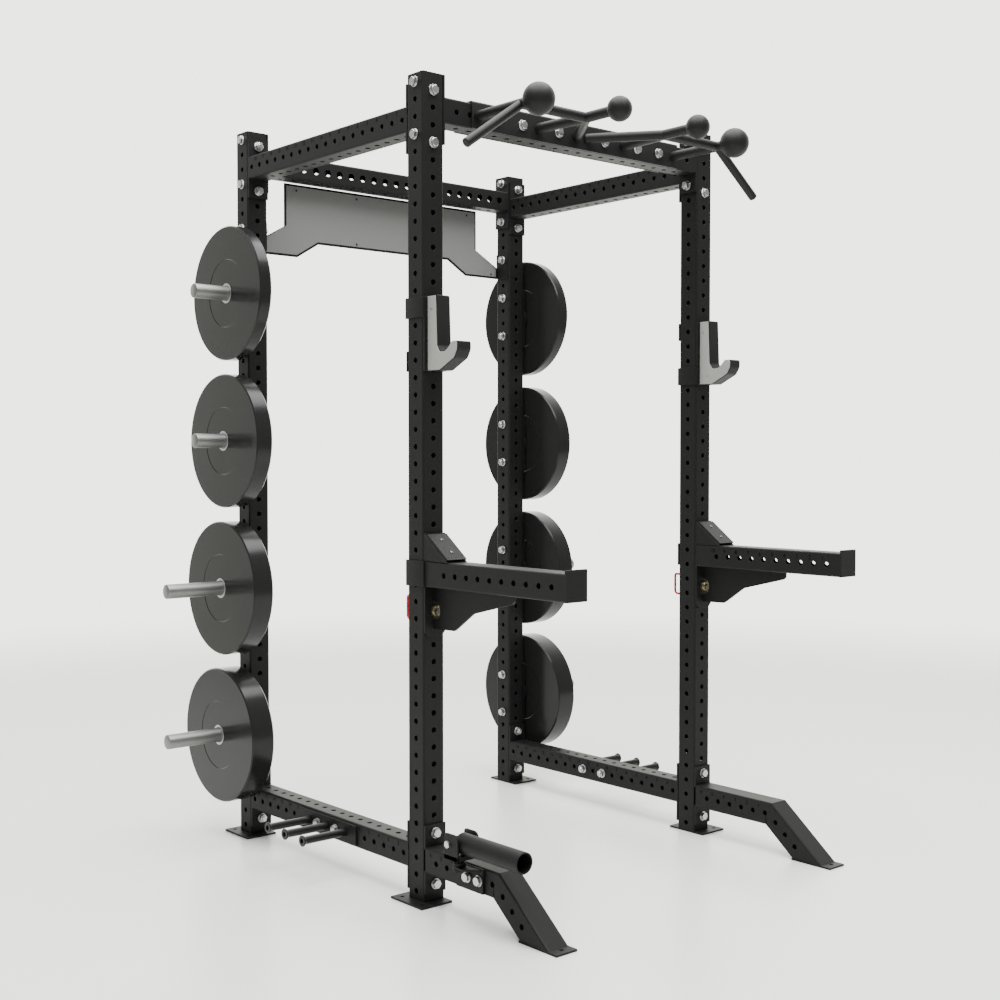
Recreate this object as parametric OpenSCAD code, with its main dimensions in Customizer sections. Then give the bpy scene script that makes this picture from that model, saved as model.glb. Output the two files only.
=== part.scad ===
// Power cage with plate storage, J-cups, spotter arms, ball-grip pull-up bar, band pegs and a landmine.
// +X is the cage's right, +Y its rear, +Z up. The origin is on the floor, in the middle of the overall box.

/* [Frame] */
// Distance between neighbouring holes
pitch = 50.8; // [50:0.1:51]
// Diameter of the holes
hole_d = 16.7; // [16.4:0.1:17]
// Diameter of the holes in the rear crossmember's faces
large_hole_d = 25.4; // [25:0.1:26]
// Width of every square tube
tube_w = 76.2; // [75:0.1:77]
// Wall thickness of the square tubes
wall = 3; // [2.5:0.5:4]
// Outer corner radius of the square tubes
corner_r = 6; // [4:0.5:8]
// Holes in each side face of an upright
post_holes = 48; // [46:1:48]
// Clear width between the left and right uprights
inner_width = 1117.6; // [1110:0.1:1125]
// Clear depth between the front and rear uprights
inner_depth = 914.4; // [910:0.1:920]
// Thickness of flanges and base plates
flange_t = 6.35; // [6:0.05:6.4]
// Height of a crossmember flange
flange_h = 203.2; // [200:0.1:203.2]

/* [Base plates and feet] */
// Base plate width, from the inner tube face outwards
base_w = 114.3; // [110:0.1:118]
// Base plate length, front to rear
base_l = 152.4; // [145:0.1:155]
// Diameter of the anchor holes in the floor plates
anchor_d = 12.7; // [11:0.1:14]
// Run of the front foot's level tube, flange face to bend
foot_run = 320; // [318:1:324]
// Angle of the front foot's leg below level
foot_angle = 39.2; // [38:0.2:41]

/* [Plate storage] */
// Diameter of a storage sleeve
sleeve_d = 49; // [48:0.5:50]
// Length of the upper sleeves, upright face to tip
short_sleeve = 190; // [180:1:200]
// Length of the lower sleeves, upright face to tip
long_sleeve = 300; // [290:1:310]
// Diameter of the bumper plates
plate_d = 460; // [450:1:465]
// Thickness of the bumper plates, top to bottom
plate_t = [45, 60, 74, 84]; // [25:1:95]

/* [Attachments] */
// Length of a spotter arm, upright face to tip
arm_length = 609.6; // [600:0.1:615]
// Diameter of the large pull-up balls
large_ball_d = 95; // [90:1:100]
// Diameter of the small pull-up balls
small_ball_d = 75; // [70:1:80]
// Outer diameter of the landmine sleeve
landmine_d = 60; // [58:1:62]

/* [Hidden] */
$fn = 48;
half = tube_w / 2;
post_h = post_holes * pitch;
post_x = inner_width / 2 + half;            // upright centres, left and right
post_y = inner_depth / 2 + half;            // upright centres, front and rear
face_x = post_x + half;                     // outer side faces of the uprights
face_y = post_y + half;                     // front and rear faces of the uprights
gap = 0.4;                                  // clearance between parts that move apart
bolt_d = 15.9;
bolt_gap = pitch * 3;                       // distance between a flange's two bolts
head_h = 9;
head_w = 24;
washer_d = 32;
washer_t = 3;
nut_h = 12;

// Height of a hole: rows count down from the top of the upright
function side_z(row) = flange_t + (post_holes - row + 0.5) * pitch;
function front_z(row) = flange_t + (post_holes - row) * pitch;

side_bar_z = front_z(2.5);                  // top left and right crossmembers
cross_bar_z = side_z(2.5);                  // top front and rear crossmembers
low_bar_z = front_z(45.5);                  // bottom crossmembers and front feet
horn_rows = [11.5, 21.5, 31.5, 41.5];
jcup_z = front_z(15);
pin_z = front_z(31);
arm_z = front_z(29) + 8;

// The front feet, seen from the side
foot_flange_y = -face_y - flange_t;
foot_bend_y = foot_flange_y - foot_run;
foot_leg_drop = low_bar_z - flange_t;
foot_toe_y = foot_bend_y - foot_leg_drop / tan(foot_angle);
foot_plate_l = 152.4;
foot_plate_rear = foot_toe_y + half / sin(foot_angle);
foot_plate_front = foot_plate_rear - foot_plate_l;

// Pull-up grips, in the level plane of the front crossmember
saddle_half = 453;
saddle_t = 6;
grip_tube_d = 32;
handle_d = 28;
outer_x = 429;
inner_x = 172;
elbow_y = -735;
large_ball_y = -808;
small_ball_y = -877;
handle_tip = [630, -724, cross_bar_z - 141];
saddle_y = -face_y - saddle_t;

// Storage sleeves
stop_ring_t = 15;
stop_ring_d = 76;
plate_x = face_x + flange_t + stop_ring_t + gap;
hub_d = 68;
recess_r = 115;
recess_t = 1.5;
plate_chamfer = 4;
bore_d = 50.8;

// Spotter arm and its mount
mount_t = 6.35;
mount_front = -face_y - gap - mount_t;
arm_tip = -face_y - arm_length;
pin_d = 15.9;

// J-cup
cup_half = 27;
cup_front = mount_front;
strap_t = 5;

// Landmine on the left front foot
landmine_x = -face_x - 25;
landmine_y = -730;
landmine_z = 234;
landmine_tip = -1008;
landmine_bolt_d = 12;
yoke_half = 39;
yoke_t = 6;
yoke_low = 190;
yoke_floor = landmine_z - landmine_d / 2 - gap;
yoke_rear = landmine_y + 20;
yoke_front = landmine_y - 40;
bracket_t = 6.35;
shelf_z = 160;
swivel_d = 38;
swivel_low = 154;
swivel_high = 178;
swivel_cap_t = 3;

// The overall box runs from the spotter arm tips to the rear of the bumper plates
y_shift = -(arm_tip + post_y + plate_d / 2) / 2;

SIDES = [-1, 1];

// ---- Shared shapes ----

// Square with rounded corners, centred
module rounded_square(size, r) {
  square([size, size - 2 * r], center = true);
  square([size - 2 * r, size], center = true);
  for (x = [-1, 1], y = [-1, 1]) translate([x * (size / 2 - r), y * (size / 2 - r)]) circle(r);
}

// Hollow square tube along Z, standing on z = 0
module square_tube(length) {
  linear_extrude(length) difference() {
    rounded_square(tube_w, corner_r);
    rounded_square(tube_w - 2 * wall, corner_r - wall);
  }
}

// Hollow square tube along X or Y, centred
module bar_x(length) {
  translate([-length / 2, 0, 0]) rotate([0, 90, 0]) square_tube(length);
}

module bar_y(length) {
  translate([0, length / 2, 0]) rotate([90, 0, 0]) square_tube(length);
}

// Drills through a tube, centred on the origin, along one axis
module drill_x(d = hole_d, depth = tube_w + 4) { rotate([0, 90, 0]) cylinder(d = d, h = depth, center = true); }
module drill_y(d = hole_d, depth = tube_w + 4) { rotate([90, 0, 0]) cylinder(d = d, h = depth, center = true); }
module drill_z(d = hole_d, depth = tube_w + 4) { cylinder(d = d, h = depth, center = true); }

// Moves the cage so that the origin is in the middle of the overall box
module rack() { translate([0, y_shift, 0]) children(); }

// Round bar between two points
module rod(a, b, d) {
  v = b - a;
  len = norm(v);
  translate(a) rotate([0, acos(v[2] / len), atan2(v[1], v[0])]) cylinder(d = d, h = len);
}

// ---- Uprights ----

// One upright with its base plate; s is its side and e its end
module upright(s, e) {
  translate([s * post_x, e * post_y, 0]) {
    difference() {
      translate([0, 0, flange_t]) square_tube(post_h);
      for (row = [1:post_holes]) translate([0, 0, side_z(row)]) drill_x();
      for (row = [1:post_holes - 1]) translate([0, 0, front_z(row)]) drill_y();
    }
    difference() {
      translate([s > 0 ? -half : half - base_w, -base_l / 2, 0]) cube([base_w, base_l, flange_t]);
      for (y = [-pitch, pitch]) translate([s * 52, y, flange_t / 2]) drill_z(anchor_d, 20);
    }
  }
}

module upright_front_left() { color("#26262a") rack() upright(-1, -1); }
module upright_front_right() { color("#26262a") rack() upright(1, -1); }
module upright_rear_left() { color("#26262a") rack() upright(-1, 1); }
module upright_rear_right() { color("#26262a") rack() upright(1, 1); }

// Plastic plugs in the upright tops
module upright_caps() {
  color("#18181a") rack() for (s = SIDES, e = SIDES) translate([s * post_x, e * post_y, flange_t + post_h - 14]) {
    linear_extrude(13) rounded_square(tube_w - 2 * wall - 0.6, corner_r - wall);
  }
}

// ---- Crossmembers ----

// Bolted flange across Y, its face at y = 0 and its body towards -Y
module flange_y(h = flange_h) {
  difference() {
    translate([-half, -flange_t, -h / 2]) cube([tube_w, flange_t, h]);
    for (z = [-1, 1]) translate([0, 0, z * bolt_gap / 2]) drill_y(hole_d, 30);
  }
}

// Front or rear crossmember
module cross_bar(e, face_hole_d) {
  length = inner_width - 2 * flange_t;
  last = floor((length / 2 - 40) / pitch);
  translate([0, e * post_y, cross_bar_z]) {
    difference() {
      bar_x(length);
      for (i = [-last:last]) translate([i * pitch, 0, 0]) drill_y(face_hole_d);
      for (i = [-last:last - 1]) translate([(i + 0.5) * pitch, 0, 0]) drill_z();
    }
    for (s = SIDES) translate([s * inner_width / 2, 0, 0]) rotate([0, 0, -90 * s]) flange_y();
  }
}

// Left or right crossmember at height z
module side_bar(s, z) {
  length = inner_depth - 2 * flange_t;
  holes = 18;
  translate([s * post_x, 0, z]) {
    difference() {
      bar_y(length);
      for (i = [0:holes - 1]) translate([0, (i - (holes - 1) / 2) * pitch, 0]) drill_x();
      for (i = [0:holes - 2]) translate([0, (i - holes / 2 + 1) * pitch, 0]) drill_z();
    }
    for (e = SIDES) translate([0, e * inner_depth / 2, 0]) rotate([0, 0, e > 0 ? 0 : 180]) flange_y();
  }
}

module crossmember_front_top() { color("#232327") rack() cross_bar(-1, hole_d); }
module crossmember_rear_top() { color("#232327") rack() cross_bar(1, large_hole_d); }
module crossmember_left_top() { color("#2a2a2e") rack() side_bar(-1, side_bar_z); }
module crossmember_right_top() { color("#2a2a2e") rack() side_bar(1, side_bar_z); }
module crossmember_left_bottom() { color("#2a2a2e") rack() side_bar(-1, low_bar_z); }
module crossmember_right_bottom() { color("#2a2a2e") rack() side_bar(1, low_bar_z); }

// ---- Front feet ----

// Side outline of a foot's tube, w wide, as [y, z]
function foot_outline(w) =
  let (
    c = foot_angle / 2,
    mitre = w / 2 * tan(c),
    skew = w / 2 / sin(foot_angle)
  ) [
    [foot_flange_y, low_bar_z + w / 2],
    [foot_bend_y - mitre, low_bar_z + w / 2],
    [foot_toe_y - skew, flange_t],
    [foot_toe_y + skew, flange_t],
    [foot_bend_y + mitre, low_bar_z - w / 2],
    [foot_flange_y, low_bar_z - w / 2]
  ];

// Extrudes a [y, z] outline sideways by w, centred
module side_profile(points, w) {
  rotate([90, 0, 90]) linear_extrude(w, center = true) polygon(points);
}

module front_foot(s) {
  translate([s * post_x, 0, 0]) {
    difference() {
      side_profile(foot_outline(tube_w), tube_w);
      side_profile(foot_outline(tube_w - 2 * wall), tube_w - 2 * wall);
      for (i = [1:6]) translate([0, -face_y - flange_t - i * pitch, low_bar_z]) drill_x();
      for (i = [0:2]) {
        d = 37.5 + i * pitch;
        translate([0, foot_bend_y - d * cos(foot_angle), low_bar_z - d * sin(foot_angle)]) drill_x();
      }
    }
    translate([0, -face_y, low_bar_z]) flange_y();
    difference() {
      translate([-half, foot_plate_front, 0]) cube([tube_w, foot_plate_l, flange_t]);
      translate([0, foot_plate_front + 22, flange_t / 2]) drill_z(anchor_d, 20);
    }
  }
}

module front_foot_left() { color("#2b2b2e") rack() front_foot(-1); }
module front_foot_right() { color("#2b2b2e") rack() front_foot(1); }

// ---- Name plate ----

name_y = face_y - 1.4;
tab_t = 3;
name_top = cross_bar_z - half - 3;

// Half outline of the plate as [x, z], mirrored for the other half; m pulls the edge inwards
function name_half(m) = [
  [445 - m, name_top - m],
  [445 - m, side_z(6.35) + 0.4 * m],
  [inner_width / 2 - tab_t - m, side_z(7.58) - 0.2 * m],
  [inner_width / 2 - tab_t - m, side_z(8.43) + m],
  [391 + 0.3 * m, side_z(8.43) + m],
  [301 + 0.3 * m, side_z(7.36) + m]
];

module name_outline(m, t) {
  points = name_half(m);
  mirrored = [for (i = [len(points) - 1:-1:0]) [-points[i][0], points[i][1]]];
  rotate([90, 0, 0]) linear_extrude(t) polygon(concat(points, mirrored));
}

name_screws = [[395, name_top - 22], [133, name_top - 22], [133, side_z(7.36) + 17], [522, side_z(8.1)]];

module name_screw_holes(d) {
  for (s = SIDES, p = name_screws) translate([s * p[0], name_y, p[1]]) drill_y(d, 30);
}

// Black steel back plate, with a tab at each end bolted to the upright's inner face
module name_plate_backing() {
  color("#141416") rack() {
    difference() {
      translate([0, name_y, 0]) name_outline(0, tab_t);
      name_screw_holes(4.2);
    }
    for (s = SIDES) difference() {
      translate([s > 0 ? inner_width / 2 - tab_t : -inner_width / 2, post_y - half + 6, side_z(8.43)])
        cube([tab_t, name_y - post_y + half - 6, 97]);
      translate([s * inner_width / 2, post_y, side_z(7)]) drill_x(hole_d, 20);
    }
  }
}

// Grey sheet face, a little smaller than its back plate
module name_plate_face() {
  color("#828281") rack() difference() {
    translate([0, name_y - tab_t, 0]) name_outline(8, 2);
    name_screw_holes(4.2);
  }
}

// ---- Pull-up attachment ----

// Folded saddle over the front crossmember
module pull_up_saddle() {
  color("#1d1d20") rack() difference() {
    translate([-saddle_half, 0, cross_bar_z]) rotate([90, 0, 90]) linear_extrude(2 * saddle_half) difference() {
      translate([-post_y - half - saddle_t, -half]) square([tube_w + 2 * saddle_t, tube_w + saddle_t]);
      translate([-post_y - half, -half - 1]) square([tube_w, tube_w + 1]);
    }
    for (x = [101.6, 254, 355.6], s = SIDES) translate([s * x, -post_y, cross_bar_z]) drill_y(hole_d, 120);
  }
}

// Tubes of one side; each joins the next one inside it, so each is a little thinner than the last
module grip_side(s) {
  z = cross_bar_z;
  root = saddle_y + 1;
  rod([s * outer_x, root, z], [s * outer_x, large_ball_y, z], grip_tube_d);
  rod([s * inner_x, elbow_y + 13, z], [s * inner_x, small_ball_y, z], grip_tube_d);
  rod([s * outer_x, elbow_y, z], [s * inner_x, elbow_y, z], grip_tube_d - 0.8);
  rod([s * 187, root, z], [s * inner_x, elbow_y - 6, z], grip_tube_d - 1.6);
  rod([s * 20, root, z], [s * inner_x, elbow_y, z], grip_tube_d - 2.4);
  rod([s * outer_x, elbow_y, z], [s * handle_tip[0], handle_tip[1], handle_tip[2]], handle_d);
}

// Welded tubes that carry the balls and the sloping handles
module grip_tubes() {
  color("#3a3a3c") rack() difference() {
    union() for (s = SIDES) grip_side(s);
    large_balls(0.2);
    small_balls(0.2);
    translate([-saddle_half, saddle_y, cross_bar_z - 100]) cube([2 * saddle_half, 60, 200]);
  }
}

module large_balls(grow = 0) {
  for (s = SIDES) translate([s * outer_x, large_ball_y, cross_bar_z]) sphere(d = large_ball_d + grow);
}

module small_balls(grow = 0) {
  for (s = SIDES) translate([s * inner_x, small_ball_y, cross_bar_z]) sphere(d = small_ball_d + grow);
}

module grip_balls() {
  color("#404042") rack() {
    large_balls();
    small_balls();
  }
}

// ---- Plate storage ----

function sleeve_length(i) = i < 2 ? short_sleeve : long_sleeve;

// Flange on the upright's outer face, with a stop ring that keeps a plate clear of the bolts
module storage_flanges() {
  flange = 236;
  color("#1f1f22") rack() for (s = SIDES, i = [0:3]) translate([s * face_x, post_y, side_z(horn_rows[i])]) {
    difference() {
      union() {
        translate([s > 0 ? 0 : -flange_t, -half, -flange / 2]) cube([flange_t, tube_w, flange]);
        rotate([0, 90 * s, 0]) cylinder(d = stop_ring_d, h = flange_t + stop_ring_t);
      }
      for (z = [-1, 1]) translate([0, 0, z * bolt_gap / 2]) drill_x(hole_d, 60);
      rotate([0, 90 * s, 0]) translate([0, 0, -1]) cylinder(d = sleeve_d + 0.2, h = 60);
    }
  }
}

// Steel sleeves, closed at the tip
module storage_sleeves() {
  color("#c9cacb") rack() for (s = SIDES, i = [0:3]) {
    translate([s * face_x, post_y, side_z(horn_rows[i])]) rotate([0, 90 * s, 0]) difference() {
      union() {
        cylinder(d = sleeve_d, h = sleeve_length(i) - 2);
        cylinder(d = sleeve_d - 3, h = sleeve_length(i));
      }
      translate([0, 0, -1]) cylinder(d = sleeve_d - 8, h = sleeve_length(i) - 5);
    }
  }
}

// Rubber disc, slightly recessed in the middle: half section as [radius, height off the inner face]
module rubber_disc(t) {
  r = plate_d / 2;
  c = plate_chamfer;
  rotate_extrude($fn = 120) polygon([
    [hub_d / 2, recess_t], [recess_r, recess_t], [recess_r + 2, 0], [r - c, 0], [r, c],
    [r, t - c], [r - c, t], [recess_r + 2, t], [recess_r, t - recess_t], [hub_d / 2, t - recess_t]
  ]);
}

module plate_on(s, i) {
  translate([s * plate_x, post_y, side_z(horn_rows[i])]) rotate([0, 90 * s, 0]) children();
}

module plate(s, i) { color("#333335") rack() plate_on(s, i) rubber_disc(plate_t[i]); }

// Steel hub ring, level with the disc's rim
module hub(s, i) {
  t = plate_t[i];
  chamfer = 1.5;
  color("#6d6e70") rack() plate_on(s, i) rotate_extrude($fn = 96) polygon([
    [bore_d / 2, chamfer], [bore_d / 2 + chamfer, 0], [hub_d / 2, 0],
    [hub_d / 2, t], [bore_d / 2 + chamfer, t], [bore_d / 2, t - chamfer]
  ]);
}

// ---- Band pegs ----

peg_y = [for (i = [8, 10, 12]) (9.5 - i) * pitch];
peg_plate_h = 62;
peg_plate_l = 328;
peg_len = 159;

module band_peg_brackets() {
  color("#242427") rack() for (s = SIDES) difference() {
    translate([s > 0 ? face_x : -face_x - flange_t, peg_y[1] - peg_plate_l / 2, low_bar_z - peg_plate_h / 2])
      cube([flange_t, peg_plate_l, peg_plate_h]);
    for (y = [-pitch, pitch]) translate([s * face_x, peg_y[1] + y, low_bar_z]) drill_x(hole_d, 40);
  }
}

// Steel pegs with a flared, hollow end
module band_pegs() {
  color("#4a4b4d") rack() for (s = SIDES, y = peg_y) {
    translate([s * (face_x + flange_t), y, low_bar_z]) rotate([0, 90 * s, 0]) rotate_extrude() polygon([
      [0, 0], [12.5, 0], [12.5, peg_len - 12], [17.5, peg_len - 5], [17.5, peg_len],
      [8, peg_len], [8, peg_len - 60], [0, peg_len - 60]
    ]);
  }
}

// ---- Fasteners ----

// Hex head, washer or nut standing along +Z from z = 0
module hex(w, h) { cylinder(d = w / cos(30), h = h, $fn = 6); }
module washer() {
  difference() {
    cylinder(d = washer_d, h = washer_t);
    translate([0, 0, -1]) cylinder(d = bolt_d + 0.6, h = washer_t + 2);
  }
}

// Each bolt: [head seat, direction from head to nut, grip between the washers]
function bolt_list() = concat(
  // top front and rear crossmembers, into the uprights' sides
  [for (s = SIDES, e = SIDES, row = [1, 4])
    [[s * face_x, e * post_y, side_z(row)], [-s, 0, 0], tube_w + flange_t]],
  // top side crossmembers
  [for (s = SIDES, e = SIDES, row = [1, 4])
    [[s * post_x, e * face_y, front_z(row)], [0, -e, 0], tube_w + flange_t]],
  // bottom side crossmembers: the front pair also holds the foot
  [for (s = SIDES, row = [44, 47])
    [[s * post_x, -face_y - flange_t, front_z(row)], [0, 1, 0], tube_w + 2 * flange_t]],
  [for (s = SIDES, row = [44, 47])
    [[s * post_x, face_y, front_z(row)], [0, -1, 0], tube_w + flange_t]],
  // storage flanges
  [for (s = SIDES, r = horn_rows, d = [-1.5, 1.5])
    [[s * (face_x + flange_t), post_y, side_z(r + d)], [-s, 0, 0], tube_w + flange_t]],
  // name plate tabs
  [for (s = SIDES) [[s * face_x, post_y, side_z(7)], [-s, 0, 0], tube_w + tab_t]],
  // band peg brackets
  [for (s = SIDES, y = [-pitch, pitch])
    [[s * (face_x + flange_t), peg_y[1] + y, low_bar_z], [-s, 0, 0], tube_w + flange_t]],
  // pull-up saddle
  [for (x = [101.6, 254, 355.6], s = SIDES)
    [[s * x, -face_y - saddle_t, cross_bar_z], [0, 1, 0], tube_w + 2 * saddle_t]],
  // landmine bracket
  [for (i = [4, 5])
    [[-face_x - bracket_t, -face_y - flange_t - i * pitch, low_bar_z], [1, 0, 0], tube_w + bracket_t]]
);

// Turns +Z to the direction v, which lies along an axis
module aim(v) { rotate([0, v[2] == 0 ? 90 : 0, v[2] == 0 ? atan2(v[1], v[0]) : 0]) children(); }

module frame_bolts() {
  color("#b9bbbd") rack() for (b = bolt_list()) translate(b[0]) aim(b[1]) {
    translate([0, 0, -washer_t]) cylinder(d = bolt_d, h = b[2] + 2 * washer_t + nut_h + 4);
    translate([0, 0, -washer_t - head_h]) hex(head_w, head_h);
  }
}

module frame_washers() {
  color("#c5c6c8") rack() for (b = bolt_list()) translate(b[0]) aim(b[1]) {
    translate([0, 0, -washer_t]) washer();
    translate([0, 0, b[2]]) washer();
  }
}

module frame_nuts() {
  color("#b9bbbd") rack() for (b = bolt_list()) translate(b[0]) aim(b[1]) {
    translate([0, 0, b[2] + washer_t]) difference() {
      hex(head_w, nut_h);
      translate([0, 0, -1]) cylinder(d = bolt_d + 0.3, h = nut_h + 2);
    }
  }
}

// ---- Spotter arms ----

arm_lip = 10;
arm_end_t = 6.35;
plate_low = pin_z - 1.5 * pitch;
plate_high = plate_low + 6 * pitch;
arm_back = mount_front;
wedge_top = plate_high - 4;
wedge_front = arm_back - 104;
gusset_t = 8;

module spotter_arm(s) {
  translate([s * post_x, 0, 0]) {
    difference() {
      union() {
        // mount plate and the strap that wraps the upright's outer side
        translate([0, mount_front + mount_t, 0]) rotate([90, 0, 0]) linear_extrude(mount_t) polygon([
          [-half, plate_high], [half, plate_high], [half, plate_low + 14], [half - 14, plate_low],
          [14 - half, plate_low], [-half, plate_low + 14]
        ]);
        translate([s > 0 ? half - 1 : -half - gap - strap_t, mount_front, arm_z - half])
          cube([strap_t + gap + 1, mount_t, tube_w]);
        translate([s > 0 ? half + gap : -half - gap - strap_t, mount_front, arm_z - half])
          cube([strap_t, tube_w + mount_t + 2 * gap + strap_t, tube_w]);
        translate([s > 0 ? -half + 6 : -half - gap - strap_t, -post_y + half + gap, arm_z - half])
          cube([tube_w - 6 + gap + strap_t, strap_t, tube_w]);
        // gusset under the arm, notched round the locking pin
        difference() {
          side_profile([
            [arm_back, arm_z - half], [arm_back, plate_low + 22], [arm_back - 92, plate_low + 24],
            [arm_back - 102, plate_low + 29], [arm_back - 180, pin_z + 5], [arm_back - 349, pin_z + 46],
            [arm_back - 357, pin_z + 54], [arm_back - 358, arm_z - half]
          ], gusset_t);
          translate([0, arm_back, pin_z]) drill_x(56, 20);
        }
        // upper wedge: two cheeks and a sloping face
        for (x = [-half, half - 5]) translate([x + 2.5, 0, 0]) side_profile([
          [arm_back, arm_z + half - 0.5], [arm_back, wedge_top], [wedge_front, arm_z + half - 0.5]
        ], 5);
        side_profile([
          [arm_back, wedge_top], [wedge_front, arm_z + half], [wedge_front + 8, arm_z + half], [arm_back, wedge_top - 8]
        ], tube_w - 4);
      }
      translate([0, mount_front, pin_z]) drill_y(hole_d, 30);
    }
    // arm tube
    difference() {
      translate([0, (arm_back + arm_tip + arm_end_t) / 2, arm_z]) bar_y(arm_back - arm_tip - arm_end_t);
      for (i = [1:10]) translate([0, arm_tip + 7 + i * pitch, arm_z]) drill_x();
    }
    translate([-half, arm_tip, arm_z - half]) cube([tube_w, arm_end_t, tube_w + arm_lip]);
  }
}

module spotter_arm_left() { color("#2c2c2f") rack() spotter_arm(-1); }
module spotter_arm_right() { color("#2c2c2f") rack() spotter_arm(1); }

// Sloping pad on the wedge: a point t along the slope and n off its surface
slope_a = [arm_back, wedge_top];
slope_b = [wedge_front, arm_z + half];
slope_len = norm(slope_b - slope_a);
slope_dir = (slope_b - slope_a) / slope_len;
slope_n = [slope_dir[1], -slope_dir[0]];
pad_t = 8;
function slope_at(t, n) = slope_a + slope_dir * t + slope_n * n;

module spotter_pads() {
  color("#242426") rack() for (s = SIDES) translate([s * post_x, 0, 0]) difference() {
    side_profile([
      slope_at(3, 0.1), slope_at(slope_len - 8, 0.1), slope_at(slope_len - 4, pad_t), slope_at(7, pad_t)
    ], tube_w - 4);
    pad_screws() cylinder(d = 6.4, h = 30, center = true);
  }
}

// Places the children at a pad's two screws, +Z off the pad's face
module pad_screws() {
  for (t = [34, slope_len - 38]) {
    p = slope_at(t, pad_t);
    translate([0, p[0], p[1]]) rotate([atan2(-slope_n[0], slope_n[1]), 0, 0]) children();
  }
}

// Small round-headed screws of the name plate and the pads
module small_screws() {
  color("#c2c4c6") rack() {
    for (s = SIDES) translate([s * post_x, 0, 0]) pad_screws() {
      cylinder(d = 11, h = 2);
      translate([0, 0, -pad_t + 0.4]) cylinder(d = 6, h = pad_t);
    }
    for (s = SIDES, p = name_screws) translate([s * p[0], name_y, p[1]]) rotate([90, 0, 0]) {
      cylinder(d = 4, h = tab_t + 2 + 1);
      translate([0, 0, tab_t + 2]) cylinder(d = 8, h = 2);
    }
  }
}

// Zinc collars the locking pins pass through, on the front of the mounts
module spotter_pin_collars() {
  color("#b59a55") rack() for (s = SIDES) translate([s * post_x, mount_front, pin_z]) rotate([90, 0, 0])
    difference() {
      cylinder(d = 37, h = 17);
      translate([0, 0, -1]) cylinder(d = pin_d + 0.6, h = 20);
      translate([0, 0, 14.5]) cylinder(d = 30, h = 5);
    }
}

// Locking pin, pulled out to the rear by its handle
pin_front = mount_front - 18;
pin_rear = -post_y + half + 10;

module locking_pin(s) {
  translate([s * post_x, 0, pin_z]) rotate([-90, 0, 0]) {
    translate([0, 0, pin_front]) cylinder(d1 = pin_d - 3, d2 = pin_d, h = 2);
    translate([0, 0, pin_front + 2]) cylinder(d = pin_d, h = pin_rear - pin_front - 2);
    translate([0, 0, -post_y + half + 1.5]) cylinder(d = 26, h = 8.5);
  }
}

module spotter_pin_left() { color("#9a9b9d") rack() locking_pin(-1); }
module spotter_pin_right() { color("#9a9b9d") rack() locking_pin(1); }

// Loop handle on the rear end of a locking pin
grip_w = 14;
grip_t = 6;
grip_h = 78;
grip_near = pin_rear + gap;
grip_far = -402;

// Rounded rectangle between two y values, h tall
module loop_outline(y0, y1, h, r) {
  translate([y0 + r, -h / 2]) square([y1 - y0 - 2 * r, h]);
  translate([y0, r - h / 2]) square([y1 - y0, h - 2 * r]);
  for (y = [y0 + r, y1 - r], z = [-1, 1]) translate([y, z * (h / 2 - r)]) circle(r);
}

module pin_handle(s) {
  translate([s * post_x, 0, pin_z]) rotate([90, 0, 90]) linear_extrude(grip_w, center = true) difference() {
    loop_outline(grip_near, grip_far, grip_h, 13);
    loop_outline(grip_near + grip_t, grip_far - grip_t, grip_h - 2 * grip_t, 8);
  }
}

module spotter_pin_handle_left() { color("#d3202c") rack() pin_handle(-1); }
module spotter_pin_handle_right() { color("#d3202c") rack() pin_handle(1); }

// ---- J-cups ----

cup_plate_half = 108;
cup_edge = 48;
cup_pin_tip = 22;

// Strap round one side of the upright, from the mount to the rear face, between two heights
module cup_strap(side, low, high) {
  x0 = side > 0 ? half - 4 : -half - gap - strap_t;
  translate([x0, cup_front, low]) cube([strap_t + gap + 4, mount_t, high - low]);
  translate([side > 0 ? half + gap : -half - gap - strap_t, cup_front, low])
    cube([strap_t, tube_w + mount_t + 2 * gap + strap_t, high - low]);
  translate([side > 0 ? -half : -half - gap - strap_t, -post_y + half + gap, low])
    cube([tube_w + gap + strap_t, strap_t, high - low]);
}

module jcup_bracket(s) {
  translate([s * post_x, 0, jcup_z]) {
    translate([-half, cup_front, -cup_plate_half]) cube([tube_w, mount_t, 2 * cup_plate_half]);
    cup_strap(s, cup_edge, cup_plate_half);
    cup_strap(-s, -cup_plate_half, -cup_edge);
    translate([0, cup_front + mount_t - 1, 0]) rotate([-90, 0, 0]) {
      cylinder(d = pin_d, h = cup_pin_tip - 3);
      translate([0, 0, cup_pin_tip - 3]) cylinder(d1 = pin_d, d2 = pin_d - 5, h = 4);
    }
  }
}

// Side outline of the cup as [y, z] off the mount; m makes its working faces stand proud
function cup_outline(m) =
  let (points = [
    [0, 108, 0, 1], [36, 108, 0.7, 0.7], [37.5, 104, 1, 0.2], [43, -38, 1, 0.1], [46, -48, 0.8, 0.6],
    [55, -56, 0.4, 0.9], [84, -56, -0.3, 1], [100, -44, -0.6, 0.8], [111, -30, -0.7, 0.7],
    [133, -30, 0.7, 0.7], [135, -38, 1, 0], [134, -49, 1, -0.2], [129, -65, 0.8, -0.5],
    [121, -75, 0.6, -0.8], [54, -107.5, 0.2, -0.5], [0, -107.5, 0, -0.5]
  ]) [for (p = points) [cup_front - 0.2 - p[0] - m * p[2], p[1] + m * p[3]]];

cup_cheek_t = 3;
cup_proud = 2.5;

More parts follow.
